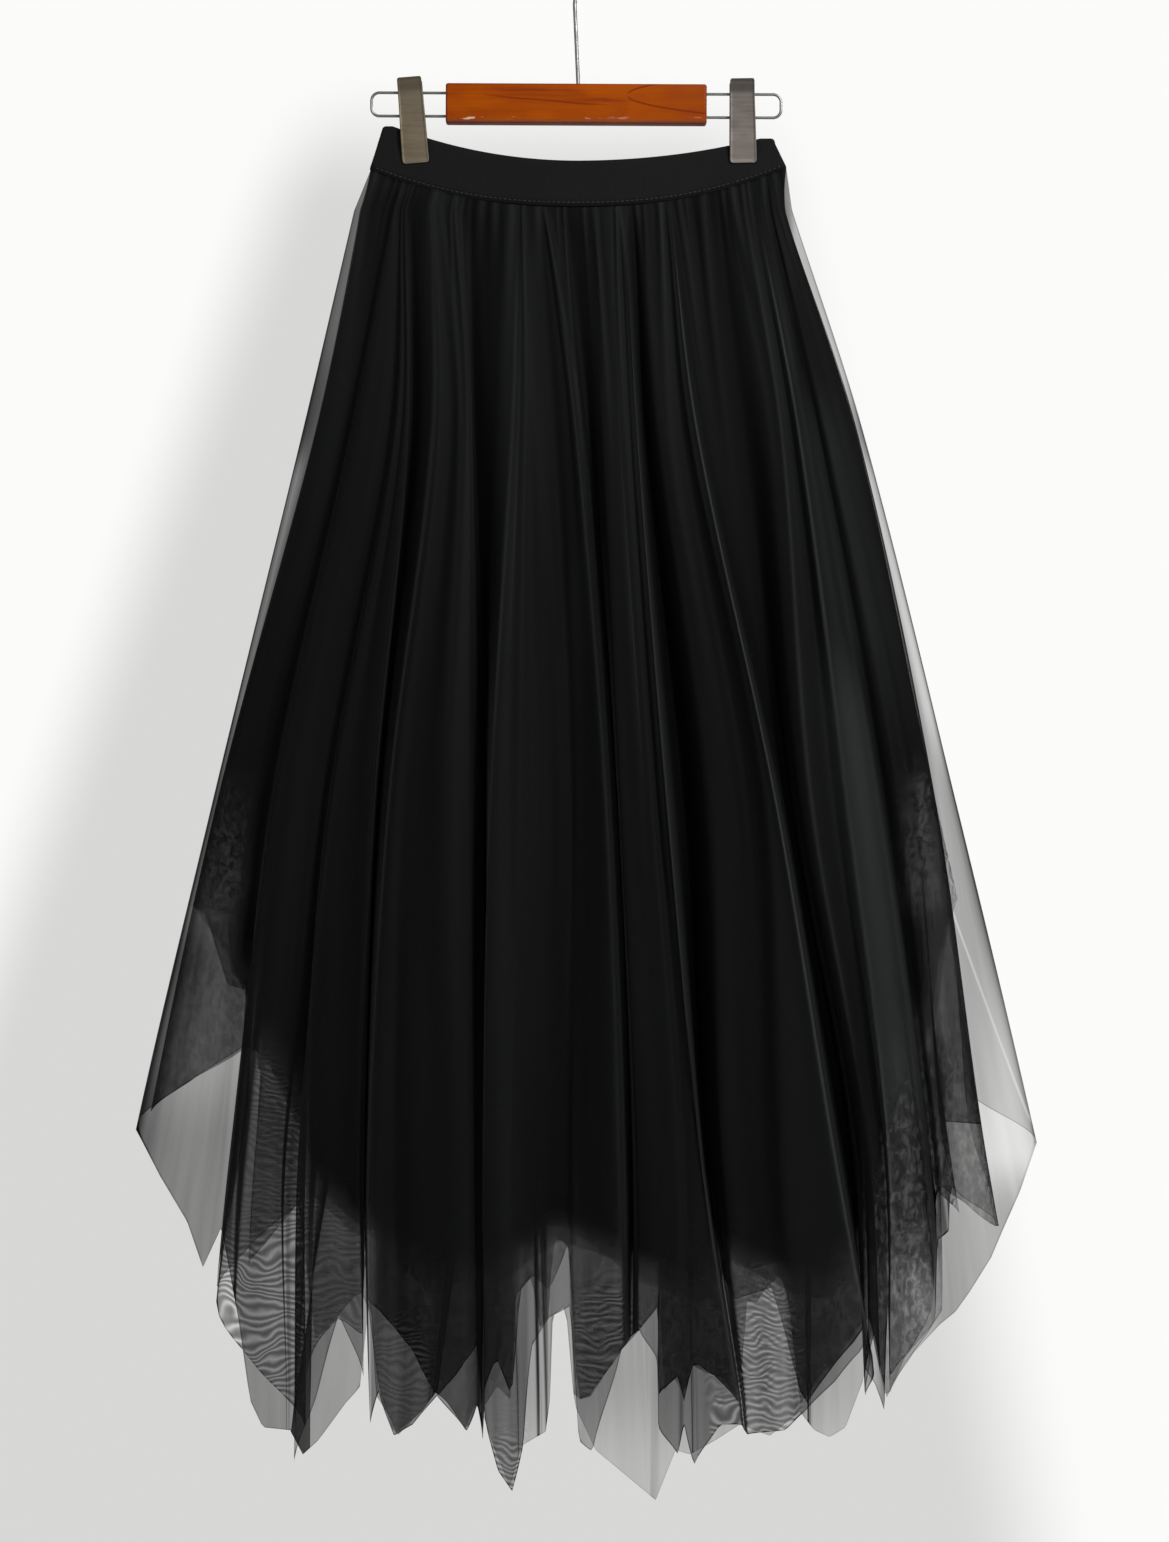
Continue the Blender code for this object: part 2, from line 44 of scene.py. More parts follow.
# The camera stands level in front of the skirt. Its lens is a guess, and its distance makes
# a pixel of the picture 0.70 mm wide at the middle of the skirt.
viewSettings = {
    "centreX": 0.0052,
    "centreZ": -0.5925,
    "distance": 2.549,
    "lens": 85.0,
    "sensor": 36.0,
    "lightTarget": (0.0, 0.0, -0.55),
    # name: place, power, width, height
    "lights": {
        "keyLight": ((1.5, -2.0, 0.9), 110.0, 0.7, 1.2),
        "fillLight": ((-1.8, -1.6, 0.1), 12.0, 1.2, 1.6),
        "backLight": ((0.9, 2.2, 0.7), 32.0, 1.2, 1.2),
    },
    "floorHeight": -1.45,
    "floorRadius": 1.25,
    "floorColours": ((0.3, (0.80, 0.80, 0.79)), (0.7, (0.84, 0.84, 0.83))),
}

# The background is bright at the right and the top left, and shaded beside and below the skirt.
# The edges of the shade are ranges, in metres from the middle of the picture.
backgroundSettings = {
    "colour": (1.0, 1.0, 0.99, 1.0),
    "bright": 0.97,
    "shaded": 0.680,
    "givenShare": 0.42,
    "leftSlant": -0.37,
    "leftEdge": (-0.405, -0.325),
    "rightSlant": 0.20,
    "rightEdge": (0.150, 0.260, 1.0, 0.0),
    "topEdge": (0.39, 0.50, 1.0, 0.0),
    "forwards": (0.2, 0.5),
}


# A node tree being built: each call adds a node and gives what comes out of it.
class NodeWork:
    def __init__(self, tree):
        self.tree = tree

    def feed(self, socket, value):
        if isinstance(value, bpy.types.NodeSocket):
            self.tree.links.new(value, socket)
        else:
            socket.default_value = value

    def add(self, kind, inputs=None, out=0, **settings):
        node = self.tree.nodes.new(kind)
        for key, value in settings.items():
            setattr(node, key, value)
        for key, value in (inputs or {}).items():
            self.feed(node.inputs[key], value)
        return node.outputs[out]

    def calc(self, operation, *values, clamp=False):
        return self.add("ShaderNodeMath", dict(enumerate(values)), operation=operation, use_clamp=clamp)

    def times(self, first, *others):
        for other in others:
            first = self.calc("MULTIPLY", first, other)
        return first

    def away(self, value, place):
        return self.calc("ABSOLUTE", self.calc("SUBTRACT", value, place))

    # brings a value from one range into another, with soft or straight ends
    def remap(self, value, fromLow, fromHigh, toLow=0.0, toHigh=1.0, soft=True):
        inputs = {"Value": value, "From Min": fromLow, "From Max": fromHigh,
                  "To Min": toLow, "To Max": toHigh}
        kind = "SMOOTHSTEP" if soft else "LINEAR"
        return self.add("ShaderNodeMapRange", inputs, "Result", interpolation_type=kind)

    def noise(self, vector, scale, detail=2.0, roughness=0.5, distortion=0.0):
        return self.add("ShaderNodeTexNoise", {
            "Vector": vector, "Scale": scale, "Detail": detail, "Roughness": roughness,
            "Distortion": distortion}, "Fac")

    # noise drawn out by a different scale each way
    def streaks(self, vector, scales, detail=2.0, roughness=0.5, distortion=0.0, turned=0.0):
        return self.noise(self.stretched(vector, scales, turned), 1.0, detail, roughness, distortion)

    def waves(self, vector, sizes, direction):
        return self.add("ShaderNodeTexWave", {"Vector": vector, **sizes}, "Fac", bands_direction=direction)

    def stretched(self, vector, scales, turned=0.0):
        inputs = {"Vector": vector, "Scale": scales, "Rotation": (0.0, turned, 0.0)}
        return self.add("ShaderNodeMapping", inputs, "Vector")

    def ramp(self, value, stops):
        colour = self.add("ShaderNodeValToRGB", {"Fac": value}, "Color")
        elements = colour.node.color_ramp.elements
        for element, (place, shade) in zip(elements, stops):
            element.position = place
            element.color = (*shade, 1.0)
        while len(elements) < len(stops):
            place, shade = stops[len(elements)]
            elements.new(place).color = (*shade, 1.0)
        return colour

    def mix(self, factor, first, second, blend="MIX"):
        colours = [(*value, 1.0) if isinstance(value, tuple) else value for value in (first, second)]
        inputs = {0: factor, 6: colours[0], 7: colours[1]}
        return self.add("ShaderNodeMix", inputs, 2, data_type="RGBA", blend_type=blend)

    def bump(self, height, distance, strength):
        inputs = {"Height": height, "Distance": distance, "Strength": strength}
        return self.add("ShaderNodeBump", inputs, "Normal")

    def attribute(self, name):
        return self.add("ShaderNodeAttribute", out="Fac", attribute_name=name)

    def coordinates(self, kind="Object"):
        return self.add("ShaderNodeTexCoord", out=kind)

    def split(self, vector):
        return self.add("ShaderNodeSeparateXYZ", {"Vector": vector}).node.outputs

    def join(self, **ways):
        return self.add("ShaderNodeCombineXYZ", ways, "Vector")


# A material with fixed surface values. What its pattern gives is fed to its sockets.
class Finish(NodeWork):
    def __init__(self, name, surface):
        self.material = bpy.data.materials.new(name)
        self.material.use_nodes = True
        super().__init__(self.material.node_tree)
        self.sockets = self.tree.nodes["Principled BSDF"].inputs
        for key, value in surface.items():
            self.sockets[key].default_value = value

    def give(self, key, value):
        self.feed(self.sockets[key], value)


# Background, lights and camera

def makeWorld(settings, distance):
    world = bpy.data.worlds.new("softStudio")
    bpy.context.scene.world = world
    world.use_nodes = True
    work = NodeWork(world.node_tree)
    direction = work.split(work.coordinates("Generated"))
    ahead = work.calc("MAXIMUM", direction["Y"], 0.05)
    across = work.times(work.calc("DIVIDE", direction["X"], ahead), distance)
    up = work.times(work.calc("DIVIDE", direction["Z"], ahead), distance)
    left = work.calc("MULTIPLY_ADD", up, settings["leftSlant"], across)
    right = work.calc("MULTIPLY_ADD", up, settings["rightSlant"], across)
    shade = work.times(
        work.remap(left, *settings["leftEdge"]), work.remap(right, *settings["rightEdge"]),
        work.remap(up, *settings["topEdge"]), work.remap(direction["Y"], *settings["forwards"]))
    level = work.remap(shade, 0.0, 1.0, settings["bright"], settings["shaded"], soft=False)
    # the background gives the skirt less light than the camera sees of it
    seen = work.add("ShaderNodeLightPath", out="Is Camera Ray")
    given = work.remap(seen, 0.0, 1.0, settings["givenShare"], 1.0, soft=False)
    background = world.node_tree.nodes["Background"].inputs
    work.feed(background["Color"], settings["colour"])
    work.feed(background["Strength"], work.times(level, given))


def placeObject(name, data):
    item = bpy.data.objects.new(name, data)
    bpy.context.scene.collection.objects.link(item)
    return item


def makeLight(name, location, power, width, height):
    data = bpy.data.lights.new(name, "AREA")
    data.shape = "RECTANGLE"
    data.size, data.size_y = width, height
    data.energy = power
    lamp = placeObject(name, data)
    lamp.location = location
    aim = Vector(viewSettings["lightTarget"]) - Vector(location)
    lamp.rotation_euler = aim.to_track_quat("-Z", "Y").to_euler()
    lamp.visible_camera = False


def makeCamera(settings):
    data = bpy.data.cameras.new("pictureCamera")
    data.lens = settings["lens"]
    data.sensor_width = settings["sensor"]
    data.clip_start, data.clip_end = 0.1, 60.0
    camera = placeObject("pictureCamera", data)
    camera.location = (settings["centreX"], -settings["distance"], settings["centreZ"])
    camera.rotation_euler = (math.pi / 2, 0.0, 0.0)
    bpy.context.scene.camera = camera


def makeFloor(settings):
    mesh = bpy.data.meshes.new("floor")
    shape = bmesh.new()
    bmesh.ops.create_circle(shape, cap_ends=True, segments=96, radius=settings["floorRadius"])
    bmesh.ops.translate(shape, vec=(0.0, 0.0, settings["floorHeight"]), verts=shape.verts)
    shape.to_mesh(mesh)
    shape.free()
    finish = Finish("paleFloor", {"Roughness": 0.75})
    patch = finish.noise(finish.coordinates(), 3.0, 3.0)
    finish.give("Base Color", finish.ramp(patch, settings["floorColours"]))
    mesh.materials.append(finish.material)
    placeObject("floor", mesh)


scene = bpy.context.scene
scene.view_settings.view_transform = "Standard"
scene.cycles.transparent_max_bounces = 40
scene.cycles.max_bounces = 8
makeWorld(backgroundSettings, viewSettings["distance"])
makeCamera(viewSettings)
makeFloor(viewSettings)
for name, sizes in viewSettings["lights"].items():
    makeLight(name, *sizes)
print("studio made")


# Putting meshes in the scene

def placeMesh(name, points, faces, material, uvs=None):
    mesh = bpy.data.meshes.new(name)
    mesh.from_pydata([tuple(p) for p in points], [], faces)
    if uvs is not None:
        layer = mesh.uv_layers.new(name="UVMap")
        index = np.empty(len(mesh.loops), dtype=np.int32)
        mesh.loops.foreach_get("vertex_index", index)
        layer.data.foreach_set("uv", np.asarray(uvs, dtype=np.float32)[index].ravel())
    mesh.shade_smooth()
    mesh.materials.append(material)
    return placeObject(name, mesh)


def gridFaces(rows, columns, faceBack=False, closed=False):
    faces = []
    for i in range(rows - 1):
        for j in range(columns if closed else columns - 1):
            right = (j + 1) % columns
            a, b = i * columns + j, i * columns + right
            face = (a, a + columns, b + columns, b)
            faces.append(face[::-1] if faceBack else face)
    return faces


# The faces of a tube of rings, closed at both ends
def tubeFaces(rings, sides):
    last = (rings - 1) * sides
    ends = [tuple(range(sides)), tuple(range(last, last + sides))[::-1]]
    return gridFaces(rings, sides, closed=True) + ends


def turnOutwards(item):
    shape = bmesh.new()
    shape.from_mesh(item.data)
    bmesh.ops.recalc_face_normals(shape, faces=shape.faces)
    shape.to_mesh(item.data)
    shape.free()


def declare(item, slot, *nodes):
    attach(item, "root")
    if nodes:
        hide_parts(*nodes)


# Materials. Ranges are the arguments of remap: from, to, and then what they become.

# One layer of net lets throughOne of the light through where it faces the eye, and less
# where it turns edge on, which is what draws its folds.
netSettings = {
    "surface": {"Roughness": 0.66, "Sheen Weight": 0.04, "Sheen Roughness": 0.30,
                "Sheen Tint": (0.85, 0.87, 0.92, 1.0), "Specular IOR Level": 0.05},
    "throughOne": 0.68,
    "leastFacing": 0.16,
    "threadColour": (0.0039, 0.0041, 0.0041),
    "threadShade": (0.0007, 0.0007, 0.0008),
    "threadLit": (0.060, 0.064, 0.063),
    "ripples": {"Scale": 70.0, "Distortion": 6.5, "Detail": 1.5, "Detail Scale": 1.1,
                "Detail Roughness": 0.5},
    "rippleStrength": 1.5,
    "rippleBend": 0.048,
    "crumpleGrain": (250.0, 250.0, 140.0),
    "crumpleFromX": (0.17, 0.20),
    "crumpleAboveHem": (0.03, 0.20),
    "crumpleStrength": 0.40,
    "streaks": (0.25, 0.75, 0.88, 1.12),
    "pressedSlope": 0.3597,
    "pressedX": 0.0166,
    "pressedMiddleZ": -0.7598,
    "pressedWidth": (0.0004, 0.0012, 0.8, 0.0),
    "pressedEnds": (0.074, 0.084, 1.0, 0.0),
    "hemLine": (0.0, 0.0011, 0.35, 0.0),
    "hemLineBehind": 0.45,
}


def makeNet(name, settings, crumpleAtHem):
    net = Finish(name, settings["surface"])
    place = net.coordinates()
    ways = net.split(place)
    behind = net.remap(ways["Y"], 0.0, 0.002)
    facing = net.add("ShaderNodeLayerWeight", {"Blend": 0.5}, "Facing")
    straight = net.calc("MAXIMUM", net.calc("SUBTRACT", 1.0, facing), settings["leastFacing"])
    fromHem, patch = net.attribute("fromHem"), net.attribute("rippled")
    # wavy bands where two nets lie over each other, which bend with the cloth
    bend = net.times(net.calc("SUBTRACT", net.noise(place, 19.0, 2.0, 0.6), 0.5), settings["rippleBend"])
    bent = net.add("ShaderNodeVectorMath", {0: place, 1: net.join(Z=bend)}, "Vector")
    ripples = net.waves(net.stretched(bent, (0.7, 0.7, 1.0)), settings["ripples"], "Z")
    where = net.remap(net.noise(net.stretched(place, (1.0, 1.0, 0.6)), 9.0, 1.0), 0.30, 0.50, 0.35, 1.0)
    where = net.times(where, patch, settings["rippleStrength"])
    nearHem = net.remap(fromHem, *settings["crumpleAboveHem"], crumpleAtHem, 0.0)
    where = net.calc("MAXIMUM", where, nearHem)
    # crumpled at the right, and near the hem between the ripples
    crumple = net.streaks(place, settings["crumpleGrain"], 3.0, 0.6, 0.5, turned=0.25)
    crumpled = net.calc("MAXIMUM", net.remap(ways["X"], *settings["crumpleFromX"]),
                        net.remap(patch, 0.1, 0.4, 1.0, 0.0))
    pattern = net.add("ShaderNodeMix", {0: crumpled, 2: ripples, 3: net.remap(crumple, 0.34, 0.66)})
    swing = net.times(net.calc("SUBTRACT", pattern, 0.5), where)
    # threads drawn together in fine upright streaks
    uv = net.add("ShaderNodeUVMap", out="UV", uv_map="UVMap")
    streak = net.streaks(uv, (260.0, 6.0, 1.0))
    # a pressed line runs down the overhang at the right, where the net is thinner
    fromLine = net.away(net.calc("MULTIPLY_ADD", ways["Z"], settings["pressedSlope"], ways["X"]),
                        settings["pressedX"])
    fromMiddle = net.away(ways["Z"], settings["pressedMiddleZ"])
    pressed = net.times(net.remap(fromLine, *settings["pressedWidth"]),
                        net.remap(fromMiddle, *settings["pressedEnds"]), behind)
    thick = net.times(
        net.attribute("netDensity"), net.remap(streak, *settings["streaks"], soft=False),
        net.calc("ADD", 1.0, swing), net.calc("SUBTRACT", 1.0, pressed))
    through = net.calc("POWER", settings["throughOne"], net.calc("DIVIDE", thick, straight))
    # the turned hem is plain in front and faint behind
    hemLine = net.times(net.remap(fromHem, *settings["hemLine"]),
                        net.remap(ways["Y"], 0.0, 0.002, 1.0, settings["hemLineBehind"]))
    net.give("Alpha", net.calc("ADD", net.calc("SUBTRACT", 1.0, through), hemLine, clamp=True))
    # painted shade and highlight: darker deep in its folds, and paler on ridges and folded edges, where the
    # net lies double
    tone = net.calc("MULTIPLY_ADD", net.calc("SUBTRACT", streak, 0.5), 0.35, net.attribute("raised"))
    colour = net.ramp(tone, ((0.05, settings["threadShade"]), (0.95, settings["threadColour"])))
    # painted highlight: a pale thread colour where the lit attribute is high
    net.give("Base Color", net.mix(net.attribute("lit"), colour, settings["threadLit"]))
    net.give("Normal", net.bump(net.streaks(uv, (900.0, 900.0, 1.0), 1.0), 0.0002, 0.4))
    return net.material


# Close knit, thin in small patches at its sides as a worn knit held to the light, and towards its hem
liningSettings = {
    "surface": {"Roughness": 0.8, "Specular IOR Level": 0.06},
    "colours": ((0.3, (0.0016, 0.0016, 0.0018)), (0.7, (0.0027, 0.0027, 0.0029))),
    "fleckGrain": (250.0, 250.0, 160.0),
    "flecks": (0.38, 0.56, 0.35, 1.0),
    "fleckStrength": 0.88,
    "fleckFromX": (0.215, 0.245),
    "fleckMiddleZ": -0.64,
    "fleckHeight": (0.03, 0.07, 1.0, 0.0),
    "hem": (0.0, 0.024, 0.45, 1.0),
}


def makeLining(settings):
    lining = Finish("blackLining", settings["surface"])
    place = lining.coordinates()
    ways = lining.split(place)
    lining.give("Base Color", lining.ramp(lining.noise(place, 14.0, 3.0, 0.6), settings["colours"]))
    fleck = lining.streaks(place, settings["fleckGrain"], 2.0, 0.7)
    thin = lining.times(
        lining.remap(fleck, *settings["flecks"]),
        lining.remap(lining.calc("ABSOLUTE", ways["X"]), *settings["fleckFromX"]),
        lining.remap(lining.away(ways["Z"], settings["fleckMiddleZ"]), *settings["fleckHeight"]),
        settings["fleckStrength"])
    hem = lining.remap(lining.attribute("fromHem"), *settings["hem"])
    lining.give("Alpha", lining.times(lining.calc("SUBTRACT", 1.0, thin), hem))
    knit = lining.streaks(place, (900.0, 900.0, 500.0), 1.0)
    lining.give("Normal", lining.bump(knit, 0.0003, 0.5))
    return lining.material


# Covered elastic: close matt knit with faint upright ribs, and painted shade that darkens it along the seam
bandClothSettings = {
    "surface": {"Roughness": 0.78, "Sheen Weight": 0.015, "Specular IOR Level": 0.10},
    "colours": ((0.3, (0.0018, 0.0019, 0.0020)), (0.7, (0.0027, 0.0028, 0.0030))),
    "ribs": {"Scale": 260.0, "Distortion": 0.6, "Detail": 1.0},
    "seamShade": (0.84, 0.98, 0.0, 0.95),
}


def makeBandCloth(settings):
    cloth = Finish("blackBandKnit", settings["surface"])
    place = cloth.coordinates()
    rib = cloth.waves(place, settings["ribs"], "X")
    weave = cloth.streaks(place, (700.0, 700.0, 1100.0))
    tone = cloth.calc("MULTIPLY_ADD", cloth.noise(place, 22.0, 3.0), 0.6, cloth.times(weave, 0.4))
    # painted shade along the seam
    seam = cloth.remap(cloth.attribute("seamward"), *settings["seamShade"])
    cloth.give("Base Color", cloth.mix(seam, cloth.ramp(tone, settings["colours"]), (0.0, 0.0, 0.0)))
    height = cloth.calc("MULTIPLY_ADD", rib, 0.5, cloth.times(weave, 0.5))
    cloth.give("Normal", cloth.bump(height, 0.00025, 0.6))
    return cloth.material


threadSettings = {
    "surface": {"Roughness": 0.5, "Specular IOR Level": 0.3},
    "colours": ((0.2, (0.012, 0.012, 0.013)), (0.8, (0.030, 0.030, 0.032))),
    "twist": {"Scale": 900.0},
}


def makeThread(settings):
    thread = Finish("blackThread", settings["surface"])
    twist = thread.waves(thread.coordinates(), settings["twist"], "DIAGONAL")
    thread.give("Base Color", thread.ramp(twist, settings["colours"]))
    return thread.material


# The hanger's bar, in metres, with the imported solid's sizes apart from its rounded edge
barSettings = {
    "length": 0.1825,
    "height": 0.0277,
    "depth": 0.0130,
    "top": -0.1122,
    "middleX": -0.0005,
    "tilt": math.radians(0.27),
    "edge": 0.0017,
}

woodSettings = {
    "surface": {"Roughness": 0.34, "Coat Weight": 0.02, "Coat Roughness": 0.18, "Specular IOR Level": 0.04},
    "light": (0.218, 0.040, 0.0008),
    "middle": (0.182, 0.029, 0.0006),
    "dark": (0.090, 0.010, 0.0005),
    "deep": (0.115, 0.014, 0.0004),
    # colour of the painted shade along the lower edge
    "lowEdgeShade": (0.11, 0.036, 0.020),
    "paleSpecks": (0.40, 0.30, 0.23),
    # rings that bend round a knot at the right
    "knotX": 0.0350,
    "knotZ": -0.1205,
    "knotSpread": 0.0030,
    "knotLine": (0.0, 0.0010, 0.95, 0.0),
    # one long dark line down to the right
    "lineSlope": -0.085,
    "lineZ": -0.1262,
    "lineWander": 0.012,
    "lineWidth": (0.0, 0.0009, 0.80, 0.0),
    "lineStart": (-0.075, -0.045),
    "lineEnd": (0.005, 0.030, 1.0, 0.0),
}


def makeWood(settings, bar):
    wood = Finish("varnishedCherry", settings["surface"])
    place = wood.coordinates()
    ways = wood.split(place)
    wander = wood.streaks(place, (9.0, 9.0, 26.0), 3.0, 0.55)
    rings = wood.calc("SINE", wood.times(wander, 34.0))
    fine = wood.streaks(place, (22.0, 60.0, 900.0), 3.0, 0.6, turned=0.03)
    long = wood.streaks(place, (7.0, 40.0, 170.0), turned=-0.06)
    tone = wood.calc("MULTIPLY_ADD", fine, 0.35, wood.times(long, 0.65))
    tone = wood.calc("MULTIPLY_ADD", rings, 0.10, tone)
    grain = wood.ramp(tone, (
        (0.22, settings["dark"]), (0.42, settings["middle"]), (0.66, settings["light"])))
    beyond = wood.calc("MAXIMUM", wood.calc("SUBTRACT", ways["X"], settings["knotX"]), 0.0)
    spread = wood.calc("SQRT", wood.times(beyond, settings["knotSpread"]))
    ring = wood.away(wood.away(ways["Z"], settings["knotZ"]), spread)
    knotLine = wood.times(wood.remap(ring, *settings["knotLine"]), wood.remap(beyond, 0.0, 0.001))
    slope = wood.calc("MULTIPLY_ADD", ways["X"], settings["lineSlope"], settings["lineZ"])
    wave = wood.calc("MULTIPLY_ADD", wood.calc("SUBTRACT", wander, 0.5), settings["lineWander"], slope)
    longLine = wood.times(
        wood.remap(wood.away(ways["Z"], wave), *settings["lineWidth"]),
        wood.remap(ways["X"], *settings["lineStart"]), wood.remap(ways["X"], *settings["lineEnd"]))
    colour = wood.mix(wood.calc("MAXIMUM", knotLine, longLine), grain, settings["dark"])
    # painted shade darkens its lower edge, where the bevel turns from the light; it is also redder towards
    # the right
    fromBottom = wood.calc("SUBTRACT", ways["Z"], bar["top"] - bar["height"])
    low = wood.times(wood.remap(fromBottom, 0.0008, 0.0034, 1.0, 0.0), 0.72)
    colour = wood.mix(low, colour, settings["lowEdgeShade"])
    rightwards = wood.remap(ways["X"], 0.02, 0.10, 0.0, 0.40, soft=False)
    colour = wood.mix(rightwards, colour, settings["deep"])
    # a dark line along its ends and its upper edge
    fromEnd = wood.calc("SUBTRACT", bar["length"] / 2, wood.away(ways["X"], bar["middleX"]))
    fromTop = wood.calc("SUBTRACT", bar["top"], ways["Z"])
    darkEdgeLine = wood.calc("MAXIMUM", wood.remap(fromEnd, 0.0004, 0.0016, 0.7, 0.0),
                        wood.remap(fromTop, 0.0003, 0.0014, 0.6, 0.0))
    colour = wood.mix(darkEdgeLine, colour, settings["dark"])
    # small pale specks just above the lower edge, most of them at the left
    specks = wood.remap(wood.streaks(place, (85.0, 60.0, 320.0)), 0.60, 0.68)
    paleSpecks = wood.times(
        specks, wood.remap(ways["X"], -0.030, 0.030, 1.0, 0.25),
        wood.remap(fromBottom, 0.0020, 0.0032), wood.remap(fromBottom, 0.0036, 0.0048, 1.0, 0.0))
    wood.give("Base Color", wood.mix(paleSpecks, colour, settings["paleSpecks"]))
    wood.give("Roughness", wood.remap(tone, 0.2, 0.7, 0.46, 0.28))
    wood.give("Normal", wood.bump(fine, 0.0002, 0.35))
    return wood.material


steelSettings = {
    "drawnSteel": {"bright": (0.21, 0.21, 0.20), "dark": (0.12, 0.12, 0.115), "roughness": 0.42,
                   "brushed": (300.0, 300.0, 300.0), "topShade": 1.0},
    # the left clip's darker, warmer copy: painted shade
    "satinNickelWarmShaded": {"bright": (0.142, 0.119, 0.084), "dark": (0.116, 0.096, 0.067), "roughness": 0.62,
                        "brushed": (40.0, 200.0, 500.0), "topShade": 0.84},
    "satinNickel": {"bright": (0.160, 0.142, 0.127), "dark": (0.130, 0.115, 0.103), "roughness": 0.62,
                    "brushed": (40.0, 200.0, 500.0), "topShade": 0.66},
}


# Brushed metal, with painted shade that darkens a clip towards its top by topShade
def makeSteel(name, settings):
    steel = Finish(name, {"Metallic": 1.0, "Roughness": settings["roughness"]})
    place = steel.coordinates()
    lines = steel.streaks(place, settings["brushed"], 3.0, 0.6)
    tone = steel.calc("MULTIPLY_ADD", lines, 0.5, steel.times(steel.noise(place, 60.0, 3.0), 0.5))
    metal = steel.ramp(tone, ((0.30, settings["dark"]), (0.68, settings["bright"])))
    # painted shade: darker towards the top of a clip
    paintedTopShade = steel.remap(steel.split(place)["Z"], -0.158, -0.138, 1.0, settings["topShade"])
    steel.give("Base Color", steel.mix(1.0, metal, steel.join(X=paintedTopShade, Y=paintedTopShade, Z=paintedTopShade), "MULTIPLY"))
    roughness = settings["roughness"]
    steel.give("Roughness", steel.remap(tone, 0.3, 0.7, roughness + 0.10, roughness - 0.06))
    steel.give("Normal", steel.bump(lines, 0.0001, 0.25))
    return steel.material


# Waistband and skirt, in metres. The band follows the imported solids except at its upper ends.

bandSettings = {
    "centreTop": -0.1660,
    "centreSeam": -0.1986,
    "curveTop": 1.95,
    "curveSeam": 2.2,
    "corner": 0.0026,
    "cornerShare": 0.022,
    "wall": 0.0030,
    "openHalf": 0.1000,
    "opening": 0.0038,
    "gap": 0.00015,
    # the top edge rises from the middle and is level beyond levelShare
    "left": {"topHalf": 0.1365, "seamHalf": 0.1449, "topRise": 0.0275, "levelShare": 0.945,
             "seamRise": 0.0263},
    "right": {"topHalf": 0.1385, "seamHalf": 0.1463, "topRise": 0.0187, "levelShare": 0.925,
              "seamRise": 0.0275},
    "puckerDepth": 0.00035,
    "puckerReach": 0.0060,
    "waveDepth": 0.00025,
    "waveAcross": 47.0,
    # it thins out into the side seams, from this share of its half length on
    "thinFrom": 0.985,
    "thinReach": 0.015,
    "thinnest": 0.12,
}

# Heights that the folds are placed at: waist, hip, knee, side hem and lowest points
foldHeights = (-0.200, -0.354, -0.613, -0.858, -1.033)

